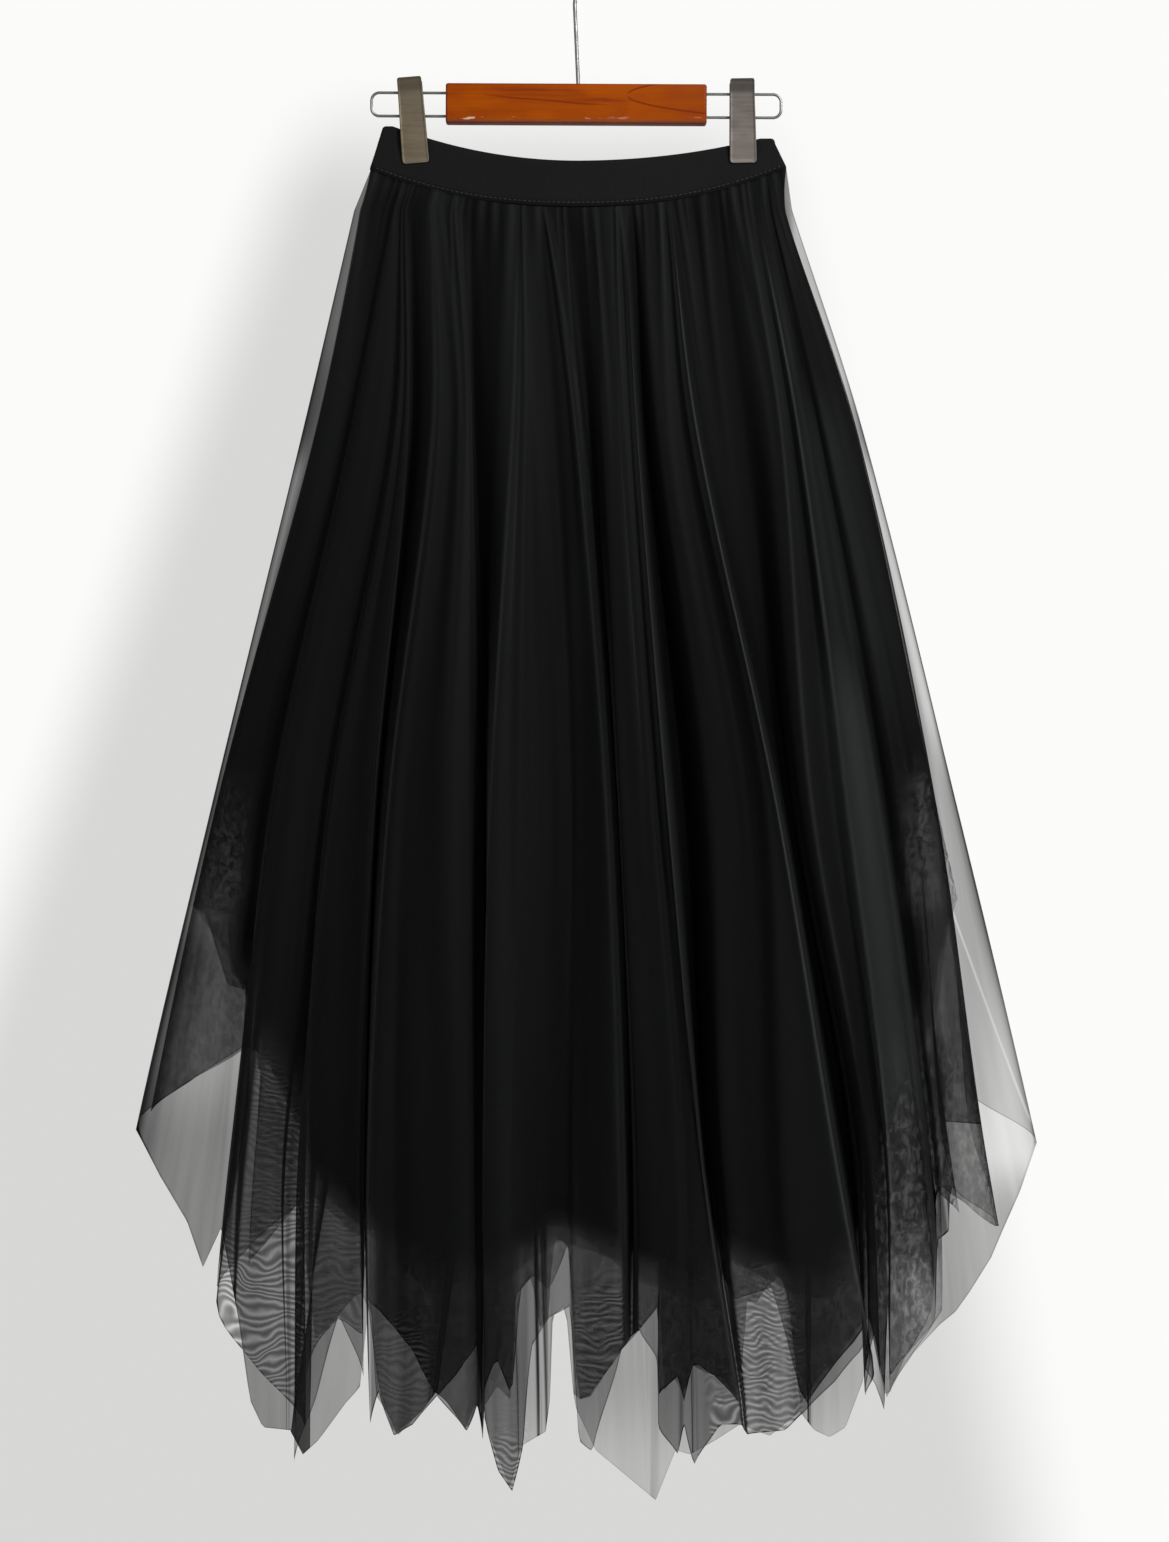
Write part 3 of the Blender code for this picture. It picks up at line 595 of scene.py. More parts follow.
# Folds of the front from left to right, in millimetres: relief is 1 on a ridge and -1 in a
# valley. The last two columns are where the outer and the inner net end.
frontFolds = (
    # name, relief, x at waist, hip, knee, side hem, lowest points, outer end, inner end
    ("sideSeamLeft", 0.00, -156.0, -192, -255, -312, -344, -838, -831),
    ("sideRollLeft", 0.50, -150.5, -178, -241, -283, -306, -813, -809),
    ("valleyA", -0.70, -133.0, -161, -218, -232, -237, -781, -778),
    ("edgeA", 0.75, -128.0, -156, -211, -243, -260, -957, -964),
    ("backA", 0.45, -126.0, -141, -192, -219, -229, -919, -1006),
    ("dipA", 0.05, -124.5, -131, -176, -190, -190, -887, -1052),
    ("edgeA2", 0.60, -123.0, -127, -172, -195, -198, -1079, -1036),
    ("stripA2", 0.45, -122.0, -124, -167, -188, -181, -1026, -994),
    ("shoulderA", 0.60, -121.5, -122, -155, -167, -166, -973, -975),
    ("edgeA3", 0.75, -120.5, -120, -144, -154, -149, -1017, -989),
    ("valleyB", -1.00, -119.0, -116, -139, -148, -148, -918, -936),
    ("edgeB", 0.80, -103.0, -101, -132, -146, -145, -1050, -963),
    ("backB", 0.50, -100.0, -96, -127, -137, -139, -1027, -970),
    ("dipB", 0.30, -96.0, -89, -117, -127, -128, -1058, -982),
    ("dipB2", 0.40, -93.0, -85, -107, -115, -115, -1050, -998),
    ("midB", 0.50, -90.5, -83, -100, -102, -98, -1030, -1031),
    ("shoulderB", 0.70, -84.5, -78, -88, -82, -78, -1055, -1006),
    ("edgeB2", 0.50, -81.0, -75, -76, -72, -70, -1036, -994),
    ("valleyC", -1.00, -77.5, -72, -64, -65, -66, -1061, -1054),
    ("edgeC", 0.85, -40.5, -45, -61, -66, -65, -1040, -1029),
    ("midC", 0.90, -38.5, -41, -52, -58, -56, -1082, -1003),
    ("ridgeC", 0.90, -35.5, -37, -43, -48, -46, -1097, -1031),
    ("rightC", 0.70, -34.5, -32, -33, -41, -38, -1064, -956),
    ("dipC", 0.35, -31.5, -25, -20, -29, -32, -995, -945),
    ("notchC", 0.25, -29.5, -20, -11, -18, -20, -975, -956),
    ("stripC", 0.20, -27.5, -15, -5, -7, -4, -967, -921),
    ("tipC", 0.40, -25.0, -10, 0, -2, 1, -1061, -1033),
    ("edgeC2", 0.45, -24.0, -6, 6, 3, 10, -1069, -1029),
    ("shoulderC", 0.85, -21.5, -1, 20, 29, 31, -998, -998),
    ("valleyD", -0.70, -5.0, 9, 28, 38, 38, -988, -987),
    ("edgeD", 0.70, 14.0, 19, 30, 42, 44, -984, -984),
    ("ridgeD", 0.80, 21.0, 27, 41, 55, 56, -1006, -966),
    ("edgeD2", 0.75, 24.5, 30, 47, 59, 57, -1050, -1030),
    ("tipD", 0.80, 27.5, 34, 52, 69, 70, -1071, -1016),
    ("stripD", 0.60, 29.5, 37, 56, 75, 75, -1050, -1034),
    ("tipD2", 0.75, 31.5, 39, 59, 82, 82, -1078, -1006),
    ("midD", 0.80, 32.5, 41, 61, 86, 99, -1050, -1017),
    ("shoulderD", 0.90, 33.5, 42, 63, 86, 113, -1050, -1036),
    ("valleyE", -1.00, 40.0, 47, 74, 90, 115, -1054, -942),
    ("ridgeE", 0.50, 47.5, 58, 94, 102, 118, -1057, -963),
    ("dipE", 0.20, 61.0, 74, 118, 128, 144, -1054, -954),
    ("ridgeE2", 0.75, 63.5, 79, 132, 145, 159, -1041, -1038),
    ("midE", 0.80, 64.5, 81, 135, 164, 183, -1019, -1008),
    ("edgeE", 0.95, 65.0, 84, 139, 180, 212, -984, -975),
    ("thinF", -0.35, 70.0, 90, 143, 184, 211, -1013, -994),
    ("valleyF", -0.90, 101.5, 118, 148, 191, 202, -1030, -1029),
    ("ridgeF", 0.30, 107.0, 134, 156, 197, 202, -1009, -1016),
    ("edgeF", 0.55, 117.5, 143, 164, 204, 209, -1022, -984),
    ("dipF", 0.40, 120.5, 147, 173, 209, 215, -1041, -1027),
    ("slitF", 0.15, 122.5, 150, 180, 214, 218, -963, -970),
    ("ridgeG", 0.85, 126.0, 155, 189, 218, 219, -1029, -1019),
    ("midG", 0.80, 129.0, 160, 200, 230, 237, -999, -994),
    ("shoulderG", 0.75, 131.5, 164, 208, 241, 255, -975, -963),
    ("valleyH", -0.60, 135.0, 169, 216, 248, 258, -921, -928),
    ("edgeH", 0.40, 137.0, 174, 226, 254, 274, -914, -893),
    ("notchH", 0.10, 139.5, 180, 234, 261, 267, -883, -886),
    ("sideRollRight", 0.60, 142.0, 187, 244, 286, 317, -910, -903),
    ("valleyI", -0.20, 146.5, 193, 253, 276, 296, -814, -837),
    ("sideSeamRight", 0.00, 150.5, 200, 265, 323, 359, -850, -840),
)

# Hem lines of the other layers, in millimetres: x, z
outerBackHem = (
    (-312, -838), (-307, -847), (-292, -876), (-273, -908), (-262, -940), (-249, -912), (-237, -977),
    (-229, -1033), (-220, -1052), (-201, -1054), (-192, -1071), (-181, -1061), (-162, -1035), (-151, -1023),
    (-148, -963), (-144, -971), (-141, -1029), (-130, -1047), (-126, -1058), (-108, -1040), (-99, -1028),
    (-92, -1033), (-77, -1055), (-69, -1034), (-59, -1064), (-47, -1094), (-39, -1065), (-22, -1055),
    (-19, -1033), (-17, -974), (-8, -967), (-2, -1036), (13, -1068), (55, -1103), (69, -1068),
    (79, -1071), (97, -1061), (114, -1050), (135, -1058), (156, -1041), (166, -1054), (177, -1059),
    (188, -1052), (200, -1020), (206, -984), (216, -1033), (230, -1006), (254, -980), (265, -971),
    (275, -957), (290, -933), (298, -914), (310, -887), (319, -861), (322, -852),
)
innerBackHem = (
    (-279, -683), (-264, -693), (-248, -742), (-233, -746), (-232, -823), (-236, -893), (-241, -950),
    (-215, -919), (-195, -895), (-183, -992), (-158, -963), (-152, -956), (-147, -963), (-139, -1024),
    (-128, -1057), (-108, -1040), (-99, -1027), (-92, -1033), (-77, -1054), (-71, -1034), (-64, -1036),
    (-56, -1023), (-46, -1033), (-43, -960), (-32, -947), (-26, -982), (-20, -975), (-17, -921),
    (-6, -921), (-2, -1033), (9, -1031), (30, -999), (41, -987), (58, -966), (61, -1026),
    (68, -1017), (75, -1030), (80, -1008), (89, -1013), (102, -1018), (114, -1033), (118, -963),
    (126, -965), (130, -957), (142, -945), (148, -963), (156, -1036), (173, -1012), (181, -1006),
    (188, -994), (200, -978), (206, -975), (216, -1033), (230, -1002), (258, -970), (266, -883),
    (303, -895), (331, -911),
)
liningFrontHem = (
    (-272, -687), (-245, -693), (-244, -733), (-231, -747), (-228, -785), (-211, -805), (-193, -840),
    (-191, -885), (-173, -901), (-156, -917), (-139, -912), (-126, -936), (-102, -960), (-75, -946),
    (-50, -921), (-33, -928), (-22, -910), (-8, -912), (16, -928), (41, -949), (62, -956),
    (86, -966), (108, -936), (128, -946), (149, -957), (176, -963), (200, -935), (206, -893),
    (217, -850), (230, -812), (244, -788), (258, -774), (266, -742), (274, -704), (286, -669),
)
liningBackHem = (
    (-272, -687), (-244, -725), (-232, -753), (-211, -809), (-194, -844), (-173, -893), (-138, -924),
    (-103, -914), (-54, -950), (-12, -921), (30, -936), (79, -910), (121, -942), (163, -928),
    (198, -914), (216, -844), (237, -795), (255, -770), (265, -725), (279, -683),
)

hemLines = {
    ("outer", "back"): outerBackHem,
    ("inner", "back"): innerBackHem,
    ("lining", "front"): liningFrontHem,
    ("lining", "back"): liningBackHem,
}

# How far the layers stand out from the middle plane, in millimetres
depthHeights = (-0.200, -0.354, -0.613, -0.858, -1.100)
liningDepths = (4.5, 12.0, 25.0, 36.0, 44.0)
reliefDepths = (4.0, 9.5, 18.0, 21.0, 18.0)
roomDepths = (1.5, 2.5, 3.5, 4.0, 4.0)

layerSettings = {
    "lining": {"rooms": 0.0, "reliefShare": 0.20, "standOff": 0.0008, "seamStandOff": 0.0004,
               "leftInset": (6, 10, 4, 3, 3), "rightInset": (6, 5, 14, 16, 16),
               "columns": 260, "rows": 72, "gathers": 0.25, "creases": 0.3},
    "inner": {"rooms": 1.0, "reliefShare": 0.40, "standOff": 0.0024, "seamStandOff": 0.0010,
              "leftInset": (5, 9, 3, 8, 8), "rightInset": (6, 4, 14, 37, 40),
              "columns": 300, "rows": 90, "gathers": 0.5, "creases": 0.7},
    "outer": {"rooms": 2.6, "reliefShare": 1.00, "standOff": 0.0051, "seamStandOff": 0.0025,
              "leftInset": (0, 0, 0, 0, 0), "rightInset": (0, 0, 0, 0, 0),
              "columns": 560, "rows": 124, "gathers": 1.0, "creases": 1.0},
}

# each layer's piece, slot and node
sheetNames = {
    "outer": ("outerNet", "tulle", "outer_tulle"),
    "inner": ("innerNet", "tulle", "inner_tulle"),
    "lining": ("lining", "lining", "lining"),
}

# How close the net lies: it falls off to the right, partly as painted shade on the left side, and is
# thinnest along the right edge.
# The inner net is closer high up, and the outer one low down behind the right side. Places
# are in metres.
densitySettings = {
    "left": 1.8,
    "right": 1.0,
    "fallsOver": (0.13, 0.25),
    "edge": 0.50,
    "edgeOver": (0.275, 0.305),
    "innerLow": 1.5,
    "innerHigh": 2.3,
    "innerOver": (-0.92, -0.82),
    "backRight": 1.9,
    "backRightBelow": (0.86, 0.91),
    "backRightBeyond": (0.24, 0.265),
}

# Where the net lies closer (above 0) or thinner: the change, on which sheets, and the
# stretches that have it, each as a way with where it begins and where it is full
densityPlaces = (
    # beside the waist at the left
    (0.35, "anywhere", ("x", -0.15, -0.18), ("z", -0.27, -0.34), ("z", -0.80, -0.60)),
    # the crumpled stretch at the right
    (0.50, "anywhere", ("x", 0.190, 0.205), ("x", 0.265, 0.250), ("z", -0.76, -0.80),
     ("z", -0.95, -0.91)),
    (-0.25, "anywhere", ("x", 0.225, 0.240), ("z", -0.93, -0.96)),
    # at the left, where the lining is seen in patches, and the edge above that
    (-0.35, "anywhere", ("x", -0.225, -0.255), ("fromFlecks", 0.09, 0.05)),
    (-0.985, "anywhere", ("folds", 0.03, 0.10), ("folds", 0.75, 0.40), ("z", -0.35, -0.39),
     ("z", -0.62, -0.54)),
    # the overhang beside the waist at the right
    (-0.6, "anywhere", ("x", 0.146, 0.154), ("z", -0.37, -0.31)),
    (0.6, "outer back", ("x", -0.15, -0.25), ("z", -0.79, -0.86)),
    (-0.5, "outer back", ("z", -1.02, -1.10), ("x", -0.12, -0.02)),
)

# Stretches of the front where the inner net lies in pleats, named by their first and last
# fold, and how much closer it lies there, of which each layer has its share
closePanels = (("backB", "edgeB2", 3.2), ("edgeC", "ridgeC", 3.2), ("edgeD2", "shoulderD", 3.2),
               ("ridgeE2", "edgeE", 3.2), ("valleyF", "dipF", 1.5))
closeShares = {"outer": 0.22, "inner": 1.0, "lining": 1.0}

# Where two nets make ripples in each other: layer, x, z, half width, half height in
# millimetres, and how strongly
ripplePatches = (
    ("inner", -215, -930, 34, 150, 1.1),
    ("inner", 22, -987, 28, 46, 1.0),
    ("inner", 247, -886, 58, 130, 1.0),
    ("inner", -124, -1012, 26, 48, 0.9),
    ("inner", -168, -925, 26, 90, 0.5),
    ("outer", 131, -1000, 27, 64, 0.75),
    ("outer", -48, -1068, 15, 30, 0.6),
    ("outer", 104, -1033, 15, 22, 0.8),
)

# Folded edges and panels of the front that catch the light: fold, reach in fold lines,
# strength, and where it starts and ends, in millimetres below the band
litFolds = (
    ("edgeB", 0.14, 0.18, 20, 760),
    ("edgeC", 0.14, 0.18, 20, 700),
    ("midC", 0.12, 0.12, 0, 300),
    ("shoulderC", 0.12, 0.12, 60, 760),
    ("edgeD2", 0.12, 0.12, 0, 400),
    ("shoulderD", 0.16, 0.24, 60, 900),
    ("edgeE", 0.14, 0.42, 10, 880),
    ("edgeF", 0.16, 0.18, 20, 600),
    ("ridgeG", 1.00, 0.30, 290, 640),
    ("midG", 1.40, 0.38, 290, 640),
    ("ridgeG", 0.16, 0.60, 20, 740),
    ("midG", 0.50, 0.10, 20, 400),
    ("edgeH", 2.20, 0.15, 90, 360),
)
# painted highlight on gather ridges, and high up on the sheets between topShineHeights
gatherShine = 0.15
topShine = 0.030
topShineHeights = (-0.50, -0.28)

gatherSettings = {
    "count": 40,
    "deepest": 0.0034,
    "shallowest": 0.0012,
    "longest": 0.220,
    "shortest": 0.030,
    "narrowest": 0.0012,
    "widest": 0.0036,
    "spread": 7.0,
    "drift": 0.06,
    "scatter": 0.45,
    "troughDepth": 0.45,
    "troughWidth": 2.2,
    "fade": 1.4,
    "seed": 5,
    "sideSeeds": {"front": 0, "back": 50},
}

creaseSettings = {
    "depths": (0.0012, 0.0006, 0.0003, 0.0001),
    "across": (19.0, 31.0, 47.0, 73.0),
    "drift": 1.3,
    "flutter": 0.0035,
    "flutterAcross": 17.0,
    "flutterReach": 0.16,
    "flutterLean": 9.0,
    "sway": 0.35,
    "grown": (0.02, 0.30),
    "seed": 9,
    "sideSeeds": {"front": 0, "back": 50},
    "layerSeeds": {"outer": 0, "inner": 100, "lining": 200},
}

# How the sheets hang from the band. Reaches and starts are metres below it, and calmBelow is
# metres below the rail.
drapeSettings = {
    "sideRoundness": 2.3,
    "waistRoundness": 8.0,
    "gatherRoundness": 6.0,
    "waistPinch": 0.045,
    "seamReach": 0.006,
    "gatherStart": 0.004,
    "foldStart": 0.012,
    "insetStart": 0.018,
    "deepestSwing": 0.62,
    "sidePull": {"left": 2.6, "right": 0.9},
    "plainRelief": 0.15,
    "calmBehind": 0.7,
    "calmBelow": (0.82, 0.97),
    "seamCalm": 0.6,
    "tuckedIn": 0.0008,
    "fromMiddle": 0.00008,
    "insetFrom": 0.70,
    "belowLast": 0.7,
}


def blend(a, b, t):
    return a + (b - a) * t


# From 0 at low to 1 at high, also where high is the smaller of the two
def soft(value, low, high):
    t = np.clip((value - low) / (high - low), 0.0, 1.0)
    return t * t * (3.0 - 2.0 * t)


def hermite(a, b, slopeA, slopeB, t):
    return (a * (1 + 2 * t) * (1 - t) ** 2 + slopeA * t * (1 - t) ** 2
            + b * t * t * (3 - 2 * t) + slopeB * t * t * (t - 1))


# A smooth curve through values at falling heights. Values may have a column for each point.
def alongHeight(z, heights, values):
    values = np.asarray(values, dtype=float)
    last = len(heights) - 1
    slopes = []
    for i in range(last + 1):
        before, after = max(i - 1, 0), min(i + 1, last)
        slopes.append((values[after] - values[before]) / (heights[after] - heights[before]))
    lowest = values[last] + drapeSettings["belowLast"] * slopes[last] * (z - heights[last])
    result = np.where(z >= heights[0], values[0], lowest)
    for i in range(last):
        span = heights[i + 1] - heights[i]
        t = np.clip((z - heights[i]) / span, 0.0, 1.0)
        piece = hermite(values[i], values[i + 1], slopes[i] * span, slopes[i + 1] * span, t)
        result = np.where((z < heights[i]) & (z > heights[i + 1]), piece, result)
    return result


def superellipse(share, power):
    return np.maximum(0.0, 1.0 - np.minimum(1.0, np.abs(share)) ** power) ** (1.0 / power)


def bandEnd(x, key):
    return np.where(x < 0, bandSettings["left"][key], bandSettings["right"][key])


def bandSeam(x):
    share = np.minimum(1.0, np.abs(x) / bandEnd(x, "seamHalf"))
    return bandSettings["centreSeam"] + bandEnd(x, "seamRise") * share ** bandSettings["curveSeam"]


def bandInnerFace(x):
    share = np.minimum(1.0, np.abs(x) / bandSettings["openHalf"])
    return bandSettings["gap"] + bandSettings["opening"] * (1.0 - share * share) ** 2


# The fold lines of a side: the back has the front's folds mirrored between the same seams.
def foldTable(side):
    places = np.array([row[2:7] for row in frontFolds], dtype=float).T * mm
    relief = np.array([row[1] for row in frontFolds])
    if side == "back":
        places = (places[:, :1] + places[:, -1:] - places)[:, ::-1]
        relief = relief[::-1].copy()
        # the back lies plain beside its side seams
        for step in (1, 2, 3):
            places[:, step] = blend(places[:, 0], places[:, 4], step / 4)
            places[:, -1 - step] = blend(places[:, -1], places[:, -5], step / 4)
            relief[step] = relief[-1 - step] = drapeSettings["plainRelief"]
    return places, relief


foldNames = [row[0] for row in frontFolds]
lastFold = len(frontFolds) - 1
foldTables = {side: foldTable(side) for side in ("front", "back")}
foldEnds = {"outer": [row[7] * mm for row in frontFolds], "inner": [row[8] * mm for row in frontFolds]}


def halfWidth(x, z):
    left, right = foldTables["front"][0][:, 0], foldTables["front"][0][:, -1]
    return np.where(x < 0, -alongHeight(z, foldHeights, left), alongHeight(z, foldHeights, right))


# Slopes that keep a curve from overshooting; where it turns back it keeps a little of its way
def softSlope(before, here, after, kept):
    first, second = here - before, after - here
    same = first * second > 0
    total = np.where(same, first + second, 1.0)
    return np.where(same, 2.0 * first * second / total, kept * (first + second))


def curveAcross(values, t, kept):
    a, b, c, d = values
    return hermite(b, c, softSlope(a, b, c, kept), softSlope(b, c, d, kept), t)


# x and relief at fold position u (counted in fold lines) and height z
def foldsAt(side, u, z):
    places, relief = foldTables[side]
    k = np.clip(np.floor(u).astype(int), 0, lastFold - 1)
    near = [np.clip(k + step, 0, lastFold) for step in (-1, 0, 1, 2)]
    x = curveAcross([alongHeight(z, foldHeights, places[:, n]) for n in near], u - k, 0.25)
    return x, curveAcross([relief[n] for n in near], u - k, 0.0)


# Columns are spread so that they are close both at the waist and at the side hem.
def columnPlaces(side, count):
    u = np.linspace(0.0, lastFold, 4001)
    measure = u / lastFold * 0.35
    for height, weight in ((foldHeights[0], 0.40), (foldHeights[3], 0.25)):
        x = foldsAt(side, u, np.full_like(u, height))[0]
        way = np.concatenate(([0.0], np.cumsum(np.abs(np.diff(x)))))
        measure = measure + weight * way / way[-1]
    return np.interp(np.linspace(0.0, measure[-1], count), measure, u)


def makeGathers(side):
    s = gatherSettings
    chooser = random.Random(s["seed"] + s["sideSeeds"][side])
    left, right = foldTables["front"][0][0, [0, -1]]
    step = (right - left) / s["count"]
    gathers = []
    for i in range(s["count"]):
        centre = left + (i + 0.5 + chooser.uniform(-s["scatter"], s["scatter"])) * step
        depth = chooser.uniform(s["shallowest"], s["deepest"])
        length = blend(s["shortest"], s["longest"], chooser.random() ** 2)
        width = blend(s["narrowest"], s["widest"], chooser.random() ** 1.5)
        drift = chooser.uniform(-1.0, 1.0) * s["drift"]
        gathers.append((centre, depth, width, length, drift))
    return gathers


# A gather is a ridge with a lower trough on either side.
def ridgeAcross(x, centre, width):
    s, way = gatherSettings, (x - centre) / width
    return np.exp(-way * way) - s["troughDepth"] * np.exp(-(way / s["troughWidth"]) ** 2)


def gatherDepth(gathers, waistX, below):
    total = np.zeros_like(below)
    for centre, depth, width, length, drift in gathers:
        wider = width * (1.0 + gatherSettings["spread"] * below)
        ridge = ridgeAcross(waistX, centre + drift * below, wider)
        total += depth * ridge * np.exp(-((below / length) ** gatherSettings["fade"]))
    return total


def creaseDepth(layer, side, share, below, fromHem):
    s = creaseSettings
    chooser = random.Random(s["seed"] + s["layerSeeds"][layer] + s["sideSeeds"][side])
    total = np.zeros_like(below)
    for depth, across in zip(s["depths"], s["across"]):
        phase, drift = chooser.uniform(0, 6.28), chooser.uniform(-1, 1) * s["drift"]
        sway = s["sway"] * np.sin(below * chooser.uniform(5, 9) + phase)
        total += depth * np.sin(2 * math.pi * (across * share + drift * below) + phase + sway)
    near = np.exp(-((fromHem / s["flutterReach"]) ** 2))
    turn = 2 * math.pi * s["flutterAcross"] * share + chooser.uniform(0, 6.28) + s["flutterLean"] * below
    wave = np.sin(turn)
    return total * soft(below, *s["grown"]) + s["flutter"] * near * wave


# Seen in the picture, a point before the middle plane looks larger. This puts it where it
# covers the same place in the picture.
def fromPicture(x, y, z):
    nearer = (viewSettings["distance"] + y) / viewSettings["distance"]
    return blend(viewSettings["centreX"], x, nearer), blend(viewSettings["centreZ"], z, nearer)


def hemHeights(layer, side, u):
    if (layer, side) not in hemLines:
        return np.interp(u, np.arange(len(frontFolds)), foldEnds[layer])
    hem = np.array(hemLines[layer, side], dtype=float) * mm
    # the height at which each column meets the hem line is found step by step
    z = np.full_like(u, -0.95)
    for _ in range(12):
        x = foldsAt(side, u, z)[0]
        z = blend(z, np.interp(x, hem[:, 0], hem[:, 1]), 0.7)
    return z


def lengthsAlong(x, y):
    return np.concatenate(([0.0], np.cumsum(np.hypot(np.diff(x), np.diff(y)))))


# A sheet's points, its flat places, and what its material reads
def makeClothGrid(layer, side):
    s, drape = layerSettings[layer], drapeSettings
    rows = s["rows"] // 1
    u = columnPlaces(side, s["columns"] // (1))
    waistX = foldsAt(side, u, np.full_like(u, foldHeights[0]))[0]
    top, end = bandSeam(waistX) + drape["tuckedIn"], hemHeights(layer, side, u)
    # rows are closest at the band and at the hem
    t = np.linspace(0.0, 1.0, rows)[:, None]
    t = t - 0.5 * np.sin(2 * math.pi * t) / (2 * math.pi)
    z = top + (end - top) * t
    x, relief = foldsAt(side, np.broadcast_to(u, z.shape), z)
    # above the hip the sides draw in to the band's ends
    pull = np.where(x < 0, drape["sidePull"]["left"], drape["sidePull"]["right"])
    x = x * (1.0 - pull * np.maximum(0.0, z - foldHeights[0]))

    fullRelief = alongHeight(z, depthHeights, reliefDepths)
    fuller = s["reliefShare"] - layerSettings["lining"]["reliefShare"]
    depth = (alongHeight(z, depthHeights, liningDepths) + fullRelief * fuller
             + alongHeight(z, depthHeights, roomDepths) * s["rooms"]) * mm
    share = x / halfWidth(x, z)
    sides = superellipse(share, drape["sideRoundness"])
    below = np.maximum(0.0, bandSeam(x) - z)
    standOff = blend(s["standOff"], s["seamStandOff"], np.exp(-below / drape["seamReach"]))
    atSeam = (bandInnerFace(x) + standOff) * superellipse(share, drape["waistRoundness"])
    y = blend(depth * sides, atSeam, np.exp(-((below / drape["waistPinch"]) ** 2)))
    swing = fullRelief * mm * s["reliefShare"] * relief * (1.0 - np.exp(-below / drape["foldStart"]))
    if side == "back":
        swing = swing * (1.0 - drape["calmBehind"] * soft(-z, *drape["calmBelow"]))
    y = y + np.maximum(swing, -drape["deepestSwing"] * y) * sides

    edge = superellipse(share, drape["gatherRoundness"])
    gathered = gatherDepth(makeGathers(side), waistX, below)
    gatherRise = gathered / gatherSettings["deepest"]
    rise = 1.0 - drape["seamCalm"] * np.exp(-below / drape["gatherStart"])
    y = y + s["gathers"] * gathered * edge * rise
    across = lengthsAlong(x[rows // 2], y[rows // 2])
    y = y + s["creases"] * creaseDepth(layer, side, across / across[-1], below, z - end) * edge

    inset = np.where(x < 0, alongHeight(z, foldHeights, s["leftInset"]),
                     alongHeight(z, foldHeights, s["rightInset"])) * mm
    inset = inset * (1.0 - np.exp(-below / drape["insetStart"]))
    x = x - np.sign(x) * inset * soft(np.abs(share), drape["insetFrom"], 1.0)
    y = np.maximum(y, drape["fromMiddle"])
    y = -y if side == "front" else y
    x, pictureZ = fromPicture(x, y, z)
    points = np.stack([x, y, pictureZ], axis=-1)
    uvs = np.stack([np.broadcast_to(across, z.shape), top - z], axis=-1)
    slope = np.gradient(points[-1, :, 2]) / np.maximum(np.abs(np.gradient(points[-1, :, 0])), 1e-5)
    return points, uvs, {
        "fromHem": (z - end) / np.sqrt(1.0 + slope * slope),
        # raised sets the net's painted shade in its folds
        "raised": np.clip(0.5 + 0.5 * relief + gatherRise, 0.0, 1.0),
        "netDensity": netDensity(layer, side, points),
        "rippled": rippled(layer, side, points),
        # lit sets the net's painted highlight
        "lit": litShare(layer, side, points, np.clip(gatherRise, 0.0, 1.0)),
    }


def floatAttribute(item, name, values):
    data = item.data.attributes.new(name, "FLOAT", "POINT").data
    data.foreach_set("value", np.asarray(values, dtype=np.float32).ravel())


# Fold lines counted from the left side seam, on either side
def fromLeftSeam(side, u):
    return u if side == "front" else lastFold - u


# The net lies closer at the left and in the middle than at the right, partly as painted shade, and in
# pleats.
def netDensity(layer, side, points):
    s, x, z = densitySettings, points[..., 0], points[..., 2]
    u = columnPlaces(side, points.shape[1])
    ways = {"x": x, "z": z, "fromFlecks": np.abs(z - liningSettings["fleckMiddleZ"]),
            "folds": fromLeftSeam(side, u)}
    # the fall from left to right is partly painted shade
    density = blend(s["left"], s["right"], soft(x, *s["fallsOver"]))
    density = blend(density, s["edge"], soft(x, *s["edgeOver"]))
    if layer == "inner":
        density = np.maximum(density, blend(s["innerLow"], s["innerHigh"], soft(z, *s["innerOver"])))
    for change, only, *stretches in densityPlaces:
        if only in ("anywhere", f"{layer} {side}"):
            share = math.prod(soft(ways[way], *ends) for way, *ends in stretches)
            density = density * (1.0 + change * share)
    if side == "front":
        for first, last, closeness in closePanels:
            low, high = foldNames.index(first), foldNames.index(last)
            within = soft(u, low - 0.5, low + 0.1) * soft(u, high + 0.5, high - 0.1)
            density = density * (1.0 + (closeness - 1.0) * closeShares[layer] * within)
    if (layer, side) == ("outer", "back"):
        share = soft(-z, *s["backRightBelow"]) * soft(x, *s["backRightBeyond"])
        density = blend(density, s["backRight"], share)
    return density


def rippled(layer, side, points):
    total = np.zeros_like(points[..., 0])
    for patchLayer, x, z, halfWide, halfTall, strength in ripplePatches:
        if layer == patchLayer:
            away = np.hypot((points[..., 0] / mm - x) / halfWide, (points[..., 2] / mm - z) / halfTall)
            total = np.maximum(total, strength * soft(away, 1.15, 0.7))
    return total if side == "front" else 0.5 * total


# The share of painted highlight in a sheet's colour: gather ridges, the top, and the front's lit folds
def litShare(layer, side, points, ridges):
    u = fromLeftSeam(side, columnPlaces(side, points.shape[1]))
    z = points[..., 2]
    total = gatherShine * ridges + topShine * soft(z, *topShineHeights)
    if layer == "outer":
        below = (foldHeights[0] - z) / mm
        for name, reach, strength, start, finish in litFolds:
            along = soft(below, start - 20, start + 80) * soft(below, finish + 40, finish - 80)
            ridge = np.exp(-(((u - foldNames.index(name)) / reach) ** 2))
            total = np.maximum(total, strength * ridge * along)
    return total


